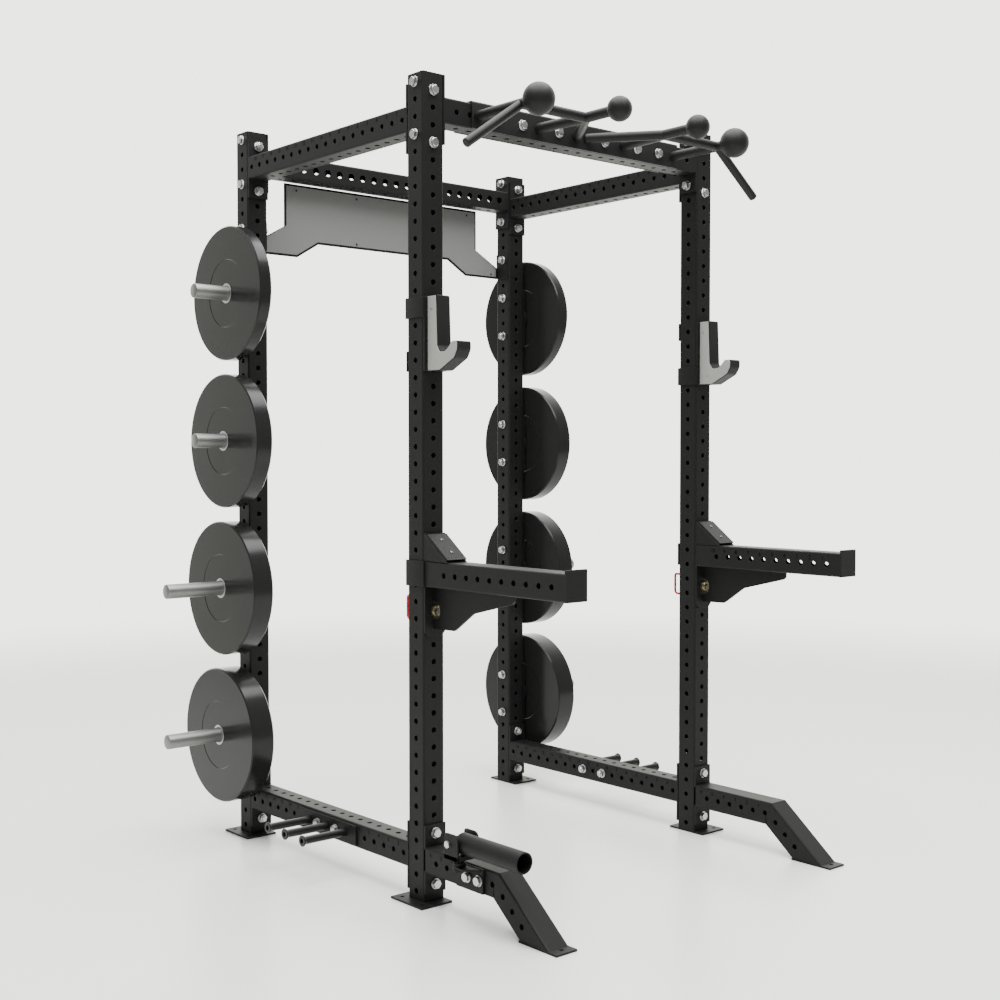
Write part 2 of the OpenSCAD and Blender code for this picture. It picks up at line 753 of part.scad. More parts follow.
module jcup_cheeks(s) {
  screws = [[18, 70], [38, -82]];
  translate([s * post_x, 0, jcup_z]) for (x = SIDES) translate([x * (cup_half - cup_cheek_t / 2), 0, 0]) {
    difference() {
      side_profile(cup_outline(0), cup_cheek_t);
      for (p = screws) translate([0, cup_front - p[0], p[1]]) drill_x(6.5, 20);
    }
    // screw heads let into the cheeks
    for (p = screws) translate([0, cup_front - p[0], p[1]]) drill_x(6, 2);
  }
}

module jcup_liner(s) {
  translate([s * post_x, 0, jcup_z]) side_profile(cup_outline(cup_proud), 2 * (cup_half - cup_cheek_t) - 0.2);
}

module jcup_bracket_left() { color("#262629") rack() jcup_bracket(-1); }
module jcup_bracket_right() { color("#262629") rack() jcup_bracket(1); }
module jcup_cheeks_left() { color("#c9cac8") rack() jcup_cheeks(-1); }
module jcup_cheeks_right() { color("#c9cac8") rack() jcup_cheeks(1); }
module jcup_liner_left() { color("#3c3d3c") rack() jcup_liner(-1); }
module jcup_liner_right() { color("#3c3d3c") rack() jcup_liner(1); }

// ---- Landmine on the left front foot ----

// Angle bracket on the foot's left side, with a shelf that carries the swivel barrel
module landmine_base() {
  front = -812;
  rear = -694;
  color("#303033") rack() difference() {
    union() {
      translate([-face_x - bracket_t, front, low_bar_z - half + 2]) cube([bracket_t, rear - front, 71]);
      translate([0, 0, shelf_z]) linear_extrude(bracket_t) polygon([
        [-face_x, front], [-face_x, rear], [landmine_x, landmine_y + 19], [landmine_x - 19, landmine_y],
        [landmine_x - 19, landmine_y - 42]
      ]);
      translate([landmine_x, landmine_y, swivel_low]) cylinder(d = swivel_d, h = swivel_high - swivel_low);
    }
    translate([landmine_x, landmine_y, 0]) cylinder(d = 20.2, h = 300);
    for (i = [4, 5]) translate([-face_x, -face_y - flange_t - i * pitch, low_bar_z]) drill_x(hole_d, 30);
  }
}

// Yoke that turns in the barrel
module landmine_yoke() {
  color("#343437") rack() translate([landmine_x, 0, 0]) difference() {
    union() {
      translate([-yoke_half, yoke_front, yoke_low])
        cube([2 * yoke_half, yoke_rear - yoke_front, yoke_floor - yoke_low]);
      for (x = SIDES) translate([x * (yoke_half - yoke_t / 2), 0, 0]) side_profile([
        [yoke_rear, yoke_low], [yoke_front, yoke_low], [yoke_front, landmine_z + 18],
        [yoke_front + 12, landmine_z + 30], [yoke_rear - 8, landmine_z + 30], [yoke_rear, landmine_z + 22]
      ], yoke_t);
      translate([0, landmine_y, swivel_high + gap]) cylinder(d = 30, h = yoke_low - swivel_high - gap + 1);
      translate([0, landmine_y, swivel_low - gap - swivel_cap_t]) {
        cylinder(d = 20, h = yoke_low - swivel_low + gap + swivel_cap_t + 1);
        cylinder(d = 28, h = swivel_cap_t);
      }
    }
    translate([0, landmine_y, landmine_z]) drill_x(landmine_bolt_d + 0.4, 100);
  }
}

// Bolt the sleeve tilts on, with its nut
module landmine_pivot_bolt() {
  color("#c5c6c8") rack() translate([landmine_x, landmine_y, landmine_z]) rotate([0, 90, 0]) {
    translate([0, 0, -yoke_half - 3]) cylinder(d = landmine_bolt_d, h = 2 * yoke_half + 16);
    translate([0, 0, -yoke_half - gap - 8]) hex(19, 8);
    translate([0, 0, yoke_half + gap]) hex(19, 10);
  }
}

// Sleeve that takes the end of a bar
module landmine_sleeve() {
  root = landmine_y - 15;
  boss = 2 * (yoke_half - yoke_t) - 1;
  color("#4a4a4d") rack() translate([landmine_x, 0, 0]) difference() {
    union() {
      translate([0, root, landmine_z]) rotate([90, 0, 0]) cylinder(d = landmine_d, h = root - landmine_tip);
      translate([-20, root - 4, landmine_z - 14]) cube([40, landmine_y - root + 4, 28]);
      translate([0, landmine_y, landmine_z]) drill_x(36, boss);
    }
    translate([0, root - 16, landmine_z]) rotate([90, 0, 0]) cylinder(d = 52, h = root - landmine_tip);
    translate([0, landmine_y, landmine_z]) drill_x(landmine_bolt_d + 0.2, 100);
  }
}

// ---- Bumper plates, numbered from the top ----

module plate_left_1() { plate(-1, 0); }
module plate_left_2() { plate(-1, 1); }
module plate_left_3() { plate(-1, 2); }
module plate_left_4() { plate(-1, 3); }
module plate_right_1() { plate(1, 0); }
module plate_right_2() { plate(1, 1); }
module plate_right_3() { plate(1, 2); }
module plate_right_4() { plate(1, 3); }
module hub_left_1() { hub(-1, 0); }
module hub_left_2() { hub(-1, 1); }
module hub_left_3() { hub(-1, 2); }
module hub_left_4() { hub(-1, 3); }
module hub_right_1() { hub(1, 0); }
module hub_right_2() { hub(1, 1); }
module hub_right_3() { hub(1, 2); }
module hub_right_4() { hub(1, 3); }

upright_front_left();
upright_front_right();
upright_rear_left();
upright_rear_right();
upright_caps();
crossmember_front_top();
crossmember_rear_top();
crossmember_left_top();
crossmember_right_top();
crossmember_left_bottom();
crossmember_right_bottom();
front_foot_left();
front_foot_right();
name_plate_backing();
name_plate_face();
pull_up_saddle();
grip_tubes();
grip_balls();
small_screws();
storage_flanges();
storage_sleeves();
band_peg_brackets();
band_pegs();
frame_bolts();
frame_washers();
frame_nuts();
spotter_arm_left();
spotter_arm_right();
spotter_pads();
spotter_pin_collars();
landmine_base();
landmine_yoke();
landmine_pivot_bolt();
landmine_sleeve();
jcup_bracket_left();
jcup_bracket_right();
jcup_cheeks_left();
jcup_cheeks_right();
jcup_liner_left();
jcup_liner_right();
spotter_pin_left();
spotter_pin_right();
spotter_pin_handle_left();
spotter_pin_handle_right();
plate_left_1();
plate_left_2();
plate_left_3();
plate_left_4();
plate_right_1();
plate_right_2();
plate_right_3();
plate_right_4();
hub_left_1();
hub_left_2();
hub_left_3();
hub_left_4();
hub_right_1();
hub_right_2();
hub_right_3();
hub_right_4();
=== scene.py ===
"""Power cage with plate storage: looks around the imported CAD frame.

Lengths are in millimetres and places are in the cage's own frame, whose origin is on the floor
midway between the four uprights, with X to the right, Y to the rear and Z up. Shape.piece turns
both into metres in the CAD frame.
"""

import math

import bpy
from mathutils import Matrix, Vector


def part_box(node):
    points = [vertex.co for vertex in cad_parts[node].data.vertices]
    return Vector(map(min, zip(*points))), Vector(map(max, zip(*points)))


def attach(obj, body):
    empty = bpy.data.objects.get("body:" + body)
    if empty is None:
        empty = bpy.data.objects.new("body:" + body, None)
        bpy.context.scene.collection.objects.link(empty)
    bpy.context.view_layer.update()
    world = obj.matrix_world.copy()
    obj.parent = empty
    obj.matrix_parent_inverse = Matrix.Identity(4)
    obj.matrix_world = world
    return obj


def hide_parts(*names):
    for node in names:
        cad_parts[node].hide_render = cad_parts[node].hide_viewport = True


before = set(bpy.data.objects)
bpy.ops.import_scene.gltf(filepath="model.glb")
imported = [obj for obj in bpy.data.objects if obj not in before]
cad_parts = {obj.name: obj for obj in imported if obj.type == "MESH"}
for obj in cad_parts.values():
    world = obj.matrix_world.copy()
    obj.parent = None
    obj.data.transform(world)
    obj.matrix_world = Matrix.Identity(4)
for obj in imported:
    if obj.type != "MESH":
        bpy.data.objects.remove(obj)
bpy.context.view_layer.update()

# ---- Driving dimensions ----

MM = 0.001
PITCH = 50.8
HOLE_R = 8.35
TUBE = 76.2
HALF = TUBE / 2
WALL = 3.0
CORNER = 6.0
FLANGE_T = 6.35
FLANGE_H = 203.2
ROWS = 48
POST_H = ROWS * PITCH
CHAMFER = 0.6

BOLT_R = 7.95
THREAD_R = 7.9
WASHER_R = 16.0
WASHER_T = 3.0
HEAD_ACROSS = 24.0
HEAD_H = 9.0
NUT_H = 12.0

# Mesh detail: sides of a hole, of a pipe and of a ball, and steps in a pipe's bend
SEGMENTS = 24
PIPE_SIDES = 24
BALL_RINGS = 32
BALL_SIDES = 48
BEND_STEPS = 8
# Radius of a turned section's points on its axis, and the smallest strip of wall worth a face
AXIS = 0.01
CLOSE = 0.01

SIDES = (-1, 1)
SIDE_NAME = {-1: "left", 1: "right"}
END_NAME = {-1: "front", 1: "rear"}


def node_box(name):
    """A CAD node's lowest and highest corners, in millimetres."""
    low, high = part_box(name)
    return [v / MM for v in low], [v / MM for v in high]


def node_middle(name):
    low, high = node_box(name)
    return [(a + b) / 2 for a, b in zip(low, high)]


# Places read from the frame
FRONT_POST_Y = node_middle("upright_front_left")[1]
REAR_POST_Y = node_middle("upright_rear_left")[1]
Y_SHIFT = (FRONT_POST_Y + REAR_POST_Y) / 2
POST_Y = (REAR_POST_Y - FRONT_POST_Y) / 2
INNER_X = node_box("crossmember_front_top")[1][0]
POST_X = INNER_X + HALF
FACE_X = POST_X + HALF
FACE_Y = POST_Y + HALF
INNER_Y = POST_Y - HALF
FLOOR_X = node_box("upright_front_right")[1][0]
CROSS_Z = node_middle("crossmember_front_top")[2]
SIDE_BAR_Z = node_middle("crossmember_left_top")[2]
LOW_BAR_Z = node_middle("crossmember_left_bottom")[2]
ARM_TIP = node_box("spotter_arm_left")[0][1] - Y_SHIFT


def side_z(row):
    """Height of a hole in the uprights' side faces; rows count down from the top."""
    return FLANGE_T + (ROWS - row + 0.5) * PITCH


def front_z(row):
    """Height of a hole in the uprights' front and rear faces."""
    return FLANGE_T + (ROWS - row) * PITCH


# ---- Building meshes ----


def aim(axis):
    """Rotation that turns +Z to the axis."""
    return Vector((0, 0, 1)).rotation_difference(Vector(axis)).to_matrix().to_4x4()


def at(x, y, z):
    return Matrix.Translation((x, y, z))


# Stands a flat drawing up: its u runs along +Y, its v along +Z, and it faces +X
STAND_UP = Matrix(((0, 0, 1, 0), (1, 0, 0, 0), (0, 1, 0, 0), (0, 0, 0, 1)))


def inset(outline, distance):
    """The outline moved inwards by a distance; it runs counter-clockwise."""
    moved = []
    count = len(outline)
    for i, (x, y) in enumerate(outline):
        x0, y0 = outline[i - 1]
        x1, y1 = outline[(i + 1) % count]
        a = Vector((x - x0, y - y0)).normalized()
        b = Vector((x1 - x, y1 - y)).normalized()
        na = Vector((-a.y, a.x))
        nb = Vector((-b.y, b.x))
        turn = max(0.3, 1 + na.dot(nb))
        shift = (na + nb) * (distance / turn)
        moved.append((x + shift.x, y + shift.y))
    return moved


def counter_clockwise(outline):
    edges = zip(outline, outline[1:] + outline[:1])
    area = sum(x0 * y1 - x1 * y0 for (x0, y0), (x1, y1) in edges)
    return list(outline) if area > 0 else list(reversed(outline))


def rounded(points, radius, steps=4):
    """An outline whose corners are arcs; a point may carry its own radius as a third number."""
    outline = []
    count = len(points)
    for i, point in enumerate(points):
        corner = Vector(point[:2])
        r = point[2] if len(point) > 2 else radius
        before = Vector(points[i - 1][:2]) - corner
        after = Vector(points[(i + 1) % count][:2]) - corner
        angle = before.angle(after)
        if r <= 0 or angle > math.pi - 0.02:
            outline.append(tuple(corner))
            continue
        reach = min(r / math.tan(angle / 2), before.length * 0.48, after.length * 0.48)
        r = reach * math.tan(angle / 2)
        start = corner + before.normalized() * reach
        middle = (before.normalized() + after.normalized()).normalized()
        centre = corner + middle * (r / math.sin(angle / 2))
        first = start - centre
        sweep = math.pi - angle
        cross = before.x * after.y - before.y * after.x
        sign = 1 if cross < 0 else -1
        for k in range(steps + 1):
            turn = Matrix.Rotation(sign * sweep * k / steps, 2)
            outline.append(tuple(centre + turn @ first))
    return outline


def rounded_square(half, radius):
    return rounded([(half, -half), (half, half), (-half, half), (-half, -half)], radius)


def circle_points(radius, count=SEGMENTS):
    step = 2 * math.pi / count
    return [(radius * math.cos(i * step), radius * math.sin(i * step)) for i in range(count)]


def turned(profile, count):
    """Level rings of points, one for each (radius, height) of a profile."""
    return [[(x, y, h) for x, y in circle_points(r, count)] for r, h in profile]


def hex_points(across):
    """A hexagon's outline, with extra points along its sides so that it can meet a circle."""
    points = []
    for i in range(SEGMENTS):
        angle = 2 * math.pi * i / SEGMENTS
        within = (angle % (math.pi / 3)) - math.pi / 6
        r = across / 2 / math.cos(within)
        points.append((r * math.cos(angle), r * math.sin(angle)))
    return points


class Shape:
    """Collects faces and makes one Blender piece of them."""

    def __init__(self):
        self.verts = []
        self.faces = []

    def add(self, verts, faces, place=None):
        """Adds faces, whose numbers count from the first of these points."""
        base = len(self.verts)
        if place is None:
            self.verts.extend(Vector(v) for v in verts)
        else:
            self.verts.extend(place @ Vector(v) for v in verts)
        self.faces.extend([base + i for i in face] for face in faces)

    def loops(self, rings, place=None, closed=False, caps=True):
        """Quads between successive rings of equally many points; caps close the two end rings."""
        count = len(rings[0])
        last = len(rings) - 1
        verts = [v for ring in rings for v in ring]
        faces = []
        pairs = [(a, a + 1) for a in range(last)]
        if closed:
            pairs.append((last, 0))
        for a, b in pairs:
            for k in range(count):
                n = (k + 1) % count
                faces.append([a * count + k, a * count + n, b * count + n, b * count + k])
        if caps:
            faces.append(list(range(count))[::-1])
            faces.append([last * count + k for k in range(count)])
        self.add(verts, faces, place)

    def prism(self, outline, low, high, place=None, bevel=CHAMFER):
        """A flat outline raised from low to high along Z, with small chamfers."""
        outline = counter_clockwise(outline)
        inner = inset(outline, bevel)
        rings = [
            [(x, y, low) for x, y in inner],
            [(x, y, low + bevel) for x, y in outline],
            [(x, y, high - bevel) for x, y in outline],
            [(x, y, high) for x, y in inner],
        ]
        self.loops(rings, place)

    def block(self, low, high, bevel=CHAMFER):
        """An upright box between two corners."""
        outline = [(low[0], low[1]), (high[0], low[1]), (high[0], high[1]), (low[0], high[1])]
        self.prism(outline, low[2], high[2], None, bevel)

    def side_prism(self, outline, x, width, bevel=CHAMFER):
        """An outline of (y, z) points with a width along X, centred on x."""
        self.prism(outline, -width / 2, width / 2, at(x, 0, 0) @ STAND_UP, bevel)

    def front_prism(self, outline, y_low, y_high, bevel=CHAMFER):
        """An outline of (x, z) points between two values of y."""
        turn = Matrix(((1, 0, 0, 0), (0, 0, -1, 0), (0, 1, 0, 0), (0, 0, 0, 1)))
        self.prism(outline, -y_high, -y_low, turn, bevel)

    def lathe(self, profile, place=None, count=48):
        """A closed section of (radius, height) points turned about Z; it runs counter-clockwise."""
        self.loops(turned(profile, count)[::-1], place, closed=True, caps=False)

    def rod(self, start, end, radius, count=32, bevel=0.8):
        """A solid round bar between two points, with chamfered ends."""
        axis = Vector(end) - Vector(start)
        length = axis.length
        profile = [
            (radius - bevel, 0), (radius, bevel), (radius, length - bevel),
            (radius - bevel, length),
        ]
        self.loops(turned(profile, count), at(*start) @ aim(axis))

    def pipe(self, points, radius, bend):
        """A solid round bar along a path whose corners are arcs of the bend radius."""
        path = smooth_path(points, bend)
        tangents = []
        for i in range(len(path)):
            before = path[max(i - 1, 0)]
            after = path[min(i + 1, len(path) - 1)]
            tangents.append((after - before).normalized())
        normal = tangents[0].orthogonal().normalized()
        rings = []
        for point, tangent in zip(path, tangents):
            normal = (normal - tangent * normal.dot(tangent)).normalized()
            side = tangent.cross(normal)
            ring = circle_points(radius, PIPE_SIDES)
            rings.append([point + normal * x + side * y for x, y in ring])
        self.loops(rings)

    def ball(self, centre, radius):
        profile = []
        for i in range(1, BALL_RINGS):
            angle = math.pi * i / BALL_RINGS
            profile.append((radius * math.sin(angle), -radius * math.cos(angle)))
        self.loops(turned(profile, BALL_SIDES), at(*centre))

    def panel(self, u_span, v_span, holes, radius, depth, place=None):
        """A wall with round holes through it: holes are (u, v), the outer face is w = 0."""
        v = v_span[0]
        for cu, cv in sorted(holes, key=lambda hole: hole[1]):
            low = max(cv - PITCH / 2, v)
            high = min(cv + PITCH / 2, v_span[1])
            if low - v > CLOSE:
                self.plain_cell(u_span, (v, low), depth, place)
            self.hole_cell(u_span, (low, high), (cu, cv), radius, depth, place)
            v = high
        if v_span[1] - v > CLOSE:
            self.plain_cell(u_span, (v, v_span[1]), depth, place)

    def plain_cell(self, u_span, v_span, depth, place):
        """A stretch of wall without a hole: its outer and inner faces."""
        u0, u1 = u_span
        v0, v1 = v_span
        outer = [(u0, v0, 0), (u1, v0, 0), (u1, v1, 0), (u0, v1, 0)]
        inner = [(x, y, -depth) for x, y, _ in outer]
        self.add(outer + inner, [[0, 1, 2, 3], [7, 6, 5, 4]], place)

    def hole_cell(self, u_span, v_span, centre, radius, depth, place):
        """A stretch of wall round one hole: outer face, chamfered bore and inner face."""
        cu, cv = centre
        rim = []
        for x, y in circle_points(1):
            far = max(abs(x), abs(y))
            reach_u = (u_span[1] - cu) if x > 0 else (cu - u_span[0])
            reach_v = (v_span[1] - cv) if y > 0 else (cv - v_span[0])
            rim.append((cu + x / far * reach_u, cv + y / far * reach_v))

        def ring(r, w):
            return [(cu + x, cv + y, w) for x, y in circle_points(r)]

        rings = [
            [(x, y, 0) for x, y in rim],
            ring(radius + CHAMFER, 0),
            ring(radius, -CHAMFER),
            ring(radius, -depth),
            [(x, y, -depth) for x, y in rim],
        ]
        self.loops(rings, place, caps=False)

    def slab(self, u_span, v_span, holes, radius, depth, place):
        """A rectangular plate with holes: its outer face is w = 0 and it has depth behind that."""
        self.panel(u_span, v_span, holes, radius, depth, place)
        u0, u1 = u_span
        v0, v1 = v_span
        ring = [(u0, v0), (u1, v0), (u1, v1), (u0, v1)]
        back = [(x, y, -depth) for x, y in ring]
        front = [(x, y, 0) for x, y in ring]
        self.loops([back, front], place, caps=False)

    def tube(self, length, faces, place=None, slope_low=0, slope_high=0, radii=None):
        """A square tube along Z, with holes.

        faces and radii go by the number of a face, 0 to 3 for +X, +Y, -X and -Y: the heights of its
        holes and their radius. Each slope is the rate at which an end is cut off square along Y.
        """
        part = Shape()
        radii = radii or {}
        flat = HALF - CORNER
        steps = 5
        for i in range(4):
            turn = Matrix.Rotation(i * math.pi / 2, 4, "Z")
            holes = [(0, z) for z in faces.get(i, [])]
            face = turn @ at(HALF, 0, 0) @ STAND_UP
            part.panel((-flat, flat), (0, length), holes, radii.get(i, HOLE_R), WALL, face)
            for bend, inside in ((CORNER, False), (CORNER - WALL, True)):
                arc = []
                for k in range(steps + 1):
                    a = math.pi / 2 * k / steps
                    arc.append((flat + bend * math.cos(a), flat + bend * math.sin(a)))
                verts = [(x, y, 0) for x, y in arc] + [(x, y, length) for x, y in arc]
                quads = [[k, k + 1, k + steps + 2, k + steps + 1] for k in range(steps)]
                if inside:
                    quads = [quad[::-1] for quad in quads]
                part.add(verts, quads, turn)
        outer = rounded_square(HALF, CORNER)
        inner = rounded_square(HALF - WALL, CORNER - WALL)
        for z, rings in ((0, (inner, outer)), (length, (outer, inner))):
            part.loops([[(x, y, z) for x, y in ring] for ring in rings], None, caps=False)
        for v in part.verts:
            if abs(v.z) < CLOSE:
                v.z += slope_low * v.y
            elif abs(v.z - length) < CLOSE:
                v.z += slope_high * v.y
        self.add(part.verts, part.faces, place)

    def bolt_head(self, place):
        """A washer on the surface and a chamfered hex head on it, standing along +Z."""
        self.washer(place)
        self.hexagon(place @ at(0, 0, WASHER_T), HEAD_ACROSS, HEAD_H)
        top = WASHER_T + HEAD_H
        self.lathe([(5.2, top), (5.2, top + 0.4), (AXIS, top + 0.4), (AXIS, top)], place, SEGMENTS)

    def washer(self, place):
        profile = [
            (THREAD_R, 0), (WASHER_R - 0.4, 0), (WASHER_R, 0.4),
            (WASHER_R, WASHER_T - 0.5), (WASHER_R - 0.5, WASHER_T),
            (THREAD_R, WASHER_T),
        ]
        self.lathe(profile, place, 40)

    def hexagon(self, place, across, height):
        """A hex head or nut whose corners are turned down to a circle."""
        outline = hex_points(across)
        rings = [
            [(x, y, 0) for x, y in outline],
            [(x, y, height - 0.6 - 0.55 * (math.hypot(x, y) - across / 2)) for x, y in outline],
            [(x, y, height) for x, y in circle_points(across / 2 * 0.95)],
        ]
        self.loops(rings, place)

    def bolt_tail(self, place):
        """A washer, a nut and the end of the bolt, standing along +Z."""
        self.washer(place)
        self.hexagon(place @ at(0, 0, WASHER_T), HEAD_ACROSS, NUT_H)
        profile = [(AXIS, 10), (THREAD_R, 10), (THREAD_R, 17.5), (THREAD_R - 1, 19), (AXIS, 19)]
        self.lathe(profile, place, SEGMENTS)

    def piece(self, name, finish, body="rack", replaces=(), slot=None, smooth=35):
        """Makes the Blender object, in metres in the CAD frame, riding on a body.

        Edges sharper than smooth degrees stay sharp.
        """
        mesh = bpy.data.meshes.new(name)
        shift = Vector((0, Y_SHIFT, 0))
        mesh.from_pydata([(v + shift) * MM for v in self.verts], [], self.faces)
        mesh.validate()
        mesh.update()
        for polygon in mesh.polygons:
            polygon.use_smooth = True
        mesh.set_sharp_from_angle(angle=math.radians(smooth))
        mesh.materials.append(finish)
        made = bpy.data.objects.new(name, mesh)
        bpy.context.scene.collection.objects.link(made)
        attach(made, body)
        if replaces:
            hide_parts(*replaces)


def smooth_path(points, bend):
    """Points of a path whose inner corners are rounded."""
    points = [Vector(p) for p in points]
    path = [points[0]]
    for before, corner, after in zip(points, points[1:], points[2:]):
        a = (before - corner).normalized()
        b = (after - corner).normalized()
        half_angle = a.angle(b) / 2
        room = 0.45 * min((before - corner).length, (after - corner).length)
        reach = min(bend / math.tan(half_angle), room)
        for k in range(BEND_STEPS + 1):
            t = k / BEND_STEPS
            path.append(corner + a * reach * (1 - t) ** 2 + b * reach * t**2)
    path.append(points[-1])
    return path


# ---- Materials ----

GRAIN_DEPTH = 0.0005


def grey(value):
    return (value, value, value)


def material(name, colour, roughness, specular=0.5, metallic=0.0, grain=0.0, grain_scale=400.0,
             vary=0.0, vary_scale=6.0):
    """A Principled material with a fine bump and a slow change of roughness, both procedural."""
    made = bpy.data.materials.new(name)
    made.use_nodes = True
    nodes, links = made.node_tree.nodes, made.node_tree.links
    shader = nodes["Principled BSDF"]
    shader.inputs["Base Color"].default_value = (*colour, 1)
    shader.inputs["Roughness"].default_value = roughness
    shader.inputs["Metallic"].default_value = metallic
    shader.inputs["Specular IOR Level"].default_value = specular
    place = nodes.new("ShaderNodeTexCoord")
    if grain:
        noise = nodes.new("ShaderNodeTexNoise")
        noise.inputs["Scale"].default_value = grain_scale
        noise.inputs["Detail"].default_value = 2
        links.new(place.outputs["Object"], noise.inputs["Vector"])
        bump = nodes.new("ShaderNodeBump")
        bump.inputs["Strength"].default_value = grain
        bump.inputs["Distance"].default_value = GRAIN_DEPTH
        links.new(noise.outputs["Fac"], bump.inputs["Height"])
        links.new(bump.outputs["Normal"], shader.inputs["Normal"])
    if vary:
        slow = nodes.new("ShaderNodeTexNoise")
        slow.inputs["Scale"].default_value = vary_scale
        slow.inputs["Detail"].default_value = 3
        links.new(place.outputs["Object"], slow.inputs["Vector"])
        spread = nodes.new("ShaderNodeMapRange")
        spread.inputs["To Min"].default_value = roughness - vary
        spread.inputs["To Max"].default_value = roughness + vary
        links.new(slow.outputs["Fac"], spread.inputs["Value"])
        links.new(spread.outputs["Result"], shader.inputs["Roughness"])
    return made


COATED = {"grain": 0.25, "grain_scale": 900, "vary": 0.05}
METAL = {"metallic": 1.0, "grain": 0.08, "vary": 0.05}
SATIN = {"grain": 0.2, "specular": 0.2}

POWDER = material("black_powder_coat", grey(0.0075), 0.52, specular=0.18, **COATED)
GRIP_COAT = material("grip_powder_coat", grey(0.0085), 0.50, specular=0.22, **COATED)
# Painted shade: near-black, unlit colour for the hole numbers, standing in for the shade inside the
# numerals cut through the tube walls
CUT_NUMBER_SHADE = material("hole_number_painted_shade", grey(0.0005), 1.0, specular=0.0, grain=0.1)
PLUG = material("plug_plastic", grey(0.006), 0.5, specular=0.2, grain=0.15)
NAME_FACE = material(
    "name_plate_grey", (0.16, 0.16, 0.157), 0.5, specular=0.3, grain=0.2, grain_scale=900
)
STEEL = material(
    "bright_steel", (0.23, 0.23, 0.224), 0.46, metallic=1.0, grain=0.05, vary=0.05, vary_scale=14
)
ZINC = material("bright_zinc", (0.55, 0.56, 0.56), 0.30, vary_scale=30, **METAL)
PIN_STEEL = material("dark_pin_steel", grey(0.12), 0.35, **METAL)
YELLOW_ZINC = material("yellow_zinc", (0.22, 0.19, 0.11), 0.36, **METAL)
PEG = material(
    "black_oxide_steel", grey(0.012), 0.34, specular=0.3, metallic=0.2, grain=0.1, vary=0.06,
    vary_scale=20
)
PAD = material("black_wear_plastic", grey(0.009), 0.5, grain_scale=600, **SATIN)
CUP_LIGHT = material(
    "light_wear_plastic", (0.31, 0.31, 0.297), 0.5, specular=0.3, grain=0.12, grain_scale=500
)
CUP_DARK = material("dark_wear_plastic", grey(0.010), 0.5, grain_scale=500, **SATIN)
RUBBER = material(
    "black_rubber", grey(0.013), 0.20, specular=0.22, grain=0.05, grain_scale=300, vary=0.03
)
HUB = material("hub_steel", (0.45, 0.45, 0.44), 0.38, vary_scale=24, **METAL)
RED = material("red_dip", (0.50, 0.008, 0.018), 0.45, specular=0.3, grain=0.1)

# ---- Uprights ----

BASE_OUT = FLOOR_X - POST_X
BASE_HALF = 76.2
ANCHOR_R = 6.35
ANCHOR_X = 52.0


def flange(shape, place, height=FLANGE_H):
    """Bolted end flange; its outer face is w = 0 of the place."""
    holes = [(0, -1.5 * PITCH), (0, 1.5 * PITCH)]
    shape.slab((-HALF, HALF), (-height / 2, height / 2), holes, HOLE_R, FLANGE_T, place)


def facing(axis, x, y, z):
    """Place of a panel whose outer face looks along +-X or +-Y, with v up."""
    turn = ("+x", "+y", "-x", "-y").index(axis)
    return at(x, y, z) @ Matrix.Rotation(turn * math.pi / 2, 4, "Z") @ STAND_UP


def upright(s, e):
    name = f"upright_{END_NAME[e]}_{SIDE_NAME[s]}"
    shape = Shape()
    place = at(s * POST_X, e * POST_Y, FLANGE_T)
    side = [side_z(row) - FLANGE_T for row in range(1, ROWS + 1)]
    front = [front_z(row) - FLANGE_T for row in range(1, ROWS)]
    shape.tube(POST_H, {0: side, 1: front, 2: side, 3: front}, place)
    width = sorted((-s * HALF, s * BASE_OUT))
    holes = [(s * ANCHOR_X, -PITCH), (s * ANCHOR_X, PITCH)]
    shape.slab(width, (-BASE_HALF, BASE_HALF), holes, ANCHOR_R, FLANGE_T, place)
    shape.piece(name + "_steel", POWDER, replaces=[name], slot="frame")


def caps():
    shape = Shape()
    top = FLANGE_T + POST_H
    outline = rounded_square(HALF - WALL - 0.4, CORNER - WALL)
    for s in SIDES:
        for e in SIDES:
            shape.prism(outline, top - 14, top - 1, at(s * POST_X, e * POST_Y, 0))
    shape.piece("upright_plugs", PLUG, replaces=["upright_caps"], slot="plug")


# ---- Crossmembers ----

LARGE_HOLE_R = 12.7
SIDE_HOLES = 18


def cross_bar(e):
    """Top crossmember along X; the rear one has large holes in its front and rear faces."""
    name = f"crossmember_{END_NAME[e]}_top"
    shape = Shape()
    length = 2 * (INNER_X - FLANGE_T)
    place = at(-length / 2, e * POST_Y, CROSS_Z) @ Matrix.Rotation(math.pi / 2, 4, "Y")
    middle = length / 2
    side = [middle + k * PITCH for k in range(-10, 11)]
    level = [middle + (k + 0.5) * PITCH for k in range(-10, 10)]
    radii = {1: LARGE_HOLE_R, 3: LARGE_HOLE_R} if e > 0 else None
    shape.tube(length, {0: level, 1: side, 2: level, 3: side}, place, radii=radii)
    for s in SIDES:
        flange(shape, facing("+x" if s > 0 else "-x", s * INNER_X, e * POST_Y, CROSS_Z))
    shape.piece(name + "_steel", POWDER, replaces=[name], slot="frame")


def side_bar(s, level_name, z):
    """Top or bottom side crossmember along Y."""
    name = f"crossmember_{SIDE_NAME[s]}_{level_name}"
    shape = Shape()
    length = 2 * (INNER_Y - FLANGE_T)
    place = at(s * POST_X, length / 2, z) @ Matrix.Rotation(math.pi / 2, 4, "X")
    middle = length / 2
    side = [middle + (k - 8.5) * PITCH for k in range(SIDE_HOLES)]
    level = [middle + (k - 8) * PITCH for k in range(SIDE_HOLES - 1)]
    shape.tube(length, {0: side, 1: level, 2: side, 3: level}, place)
    for e in SIDES:
        flange(shape, facing("+y" if e > 0 else "-y", s * POST_X, e * INNER_Y, z))
    shape.piece(name + "_steel", POWDER, replaces=[name], slot="frame")


# ---- Front feet ----

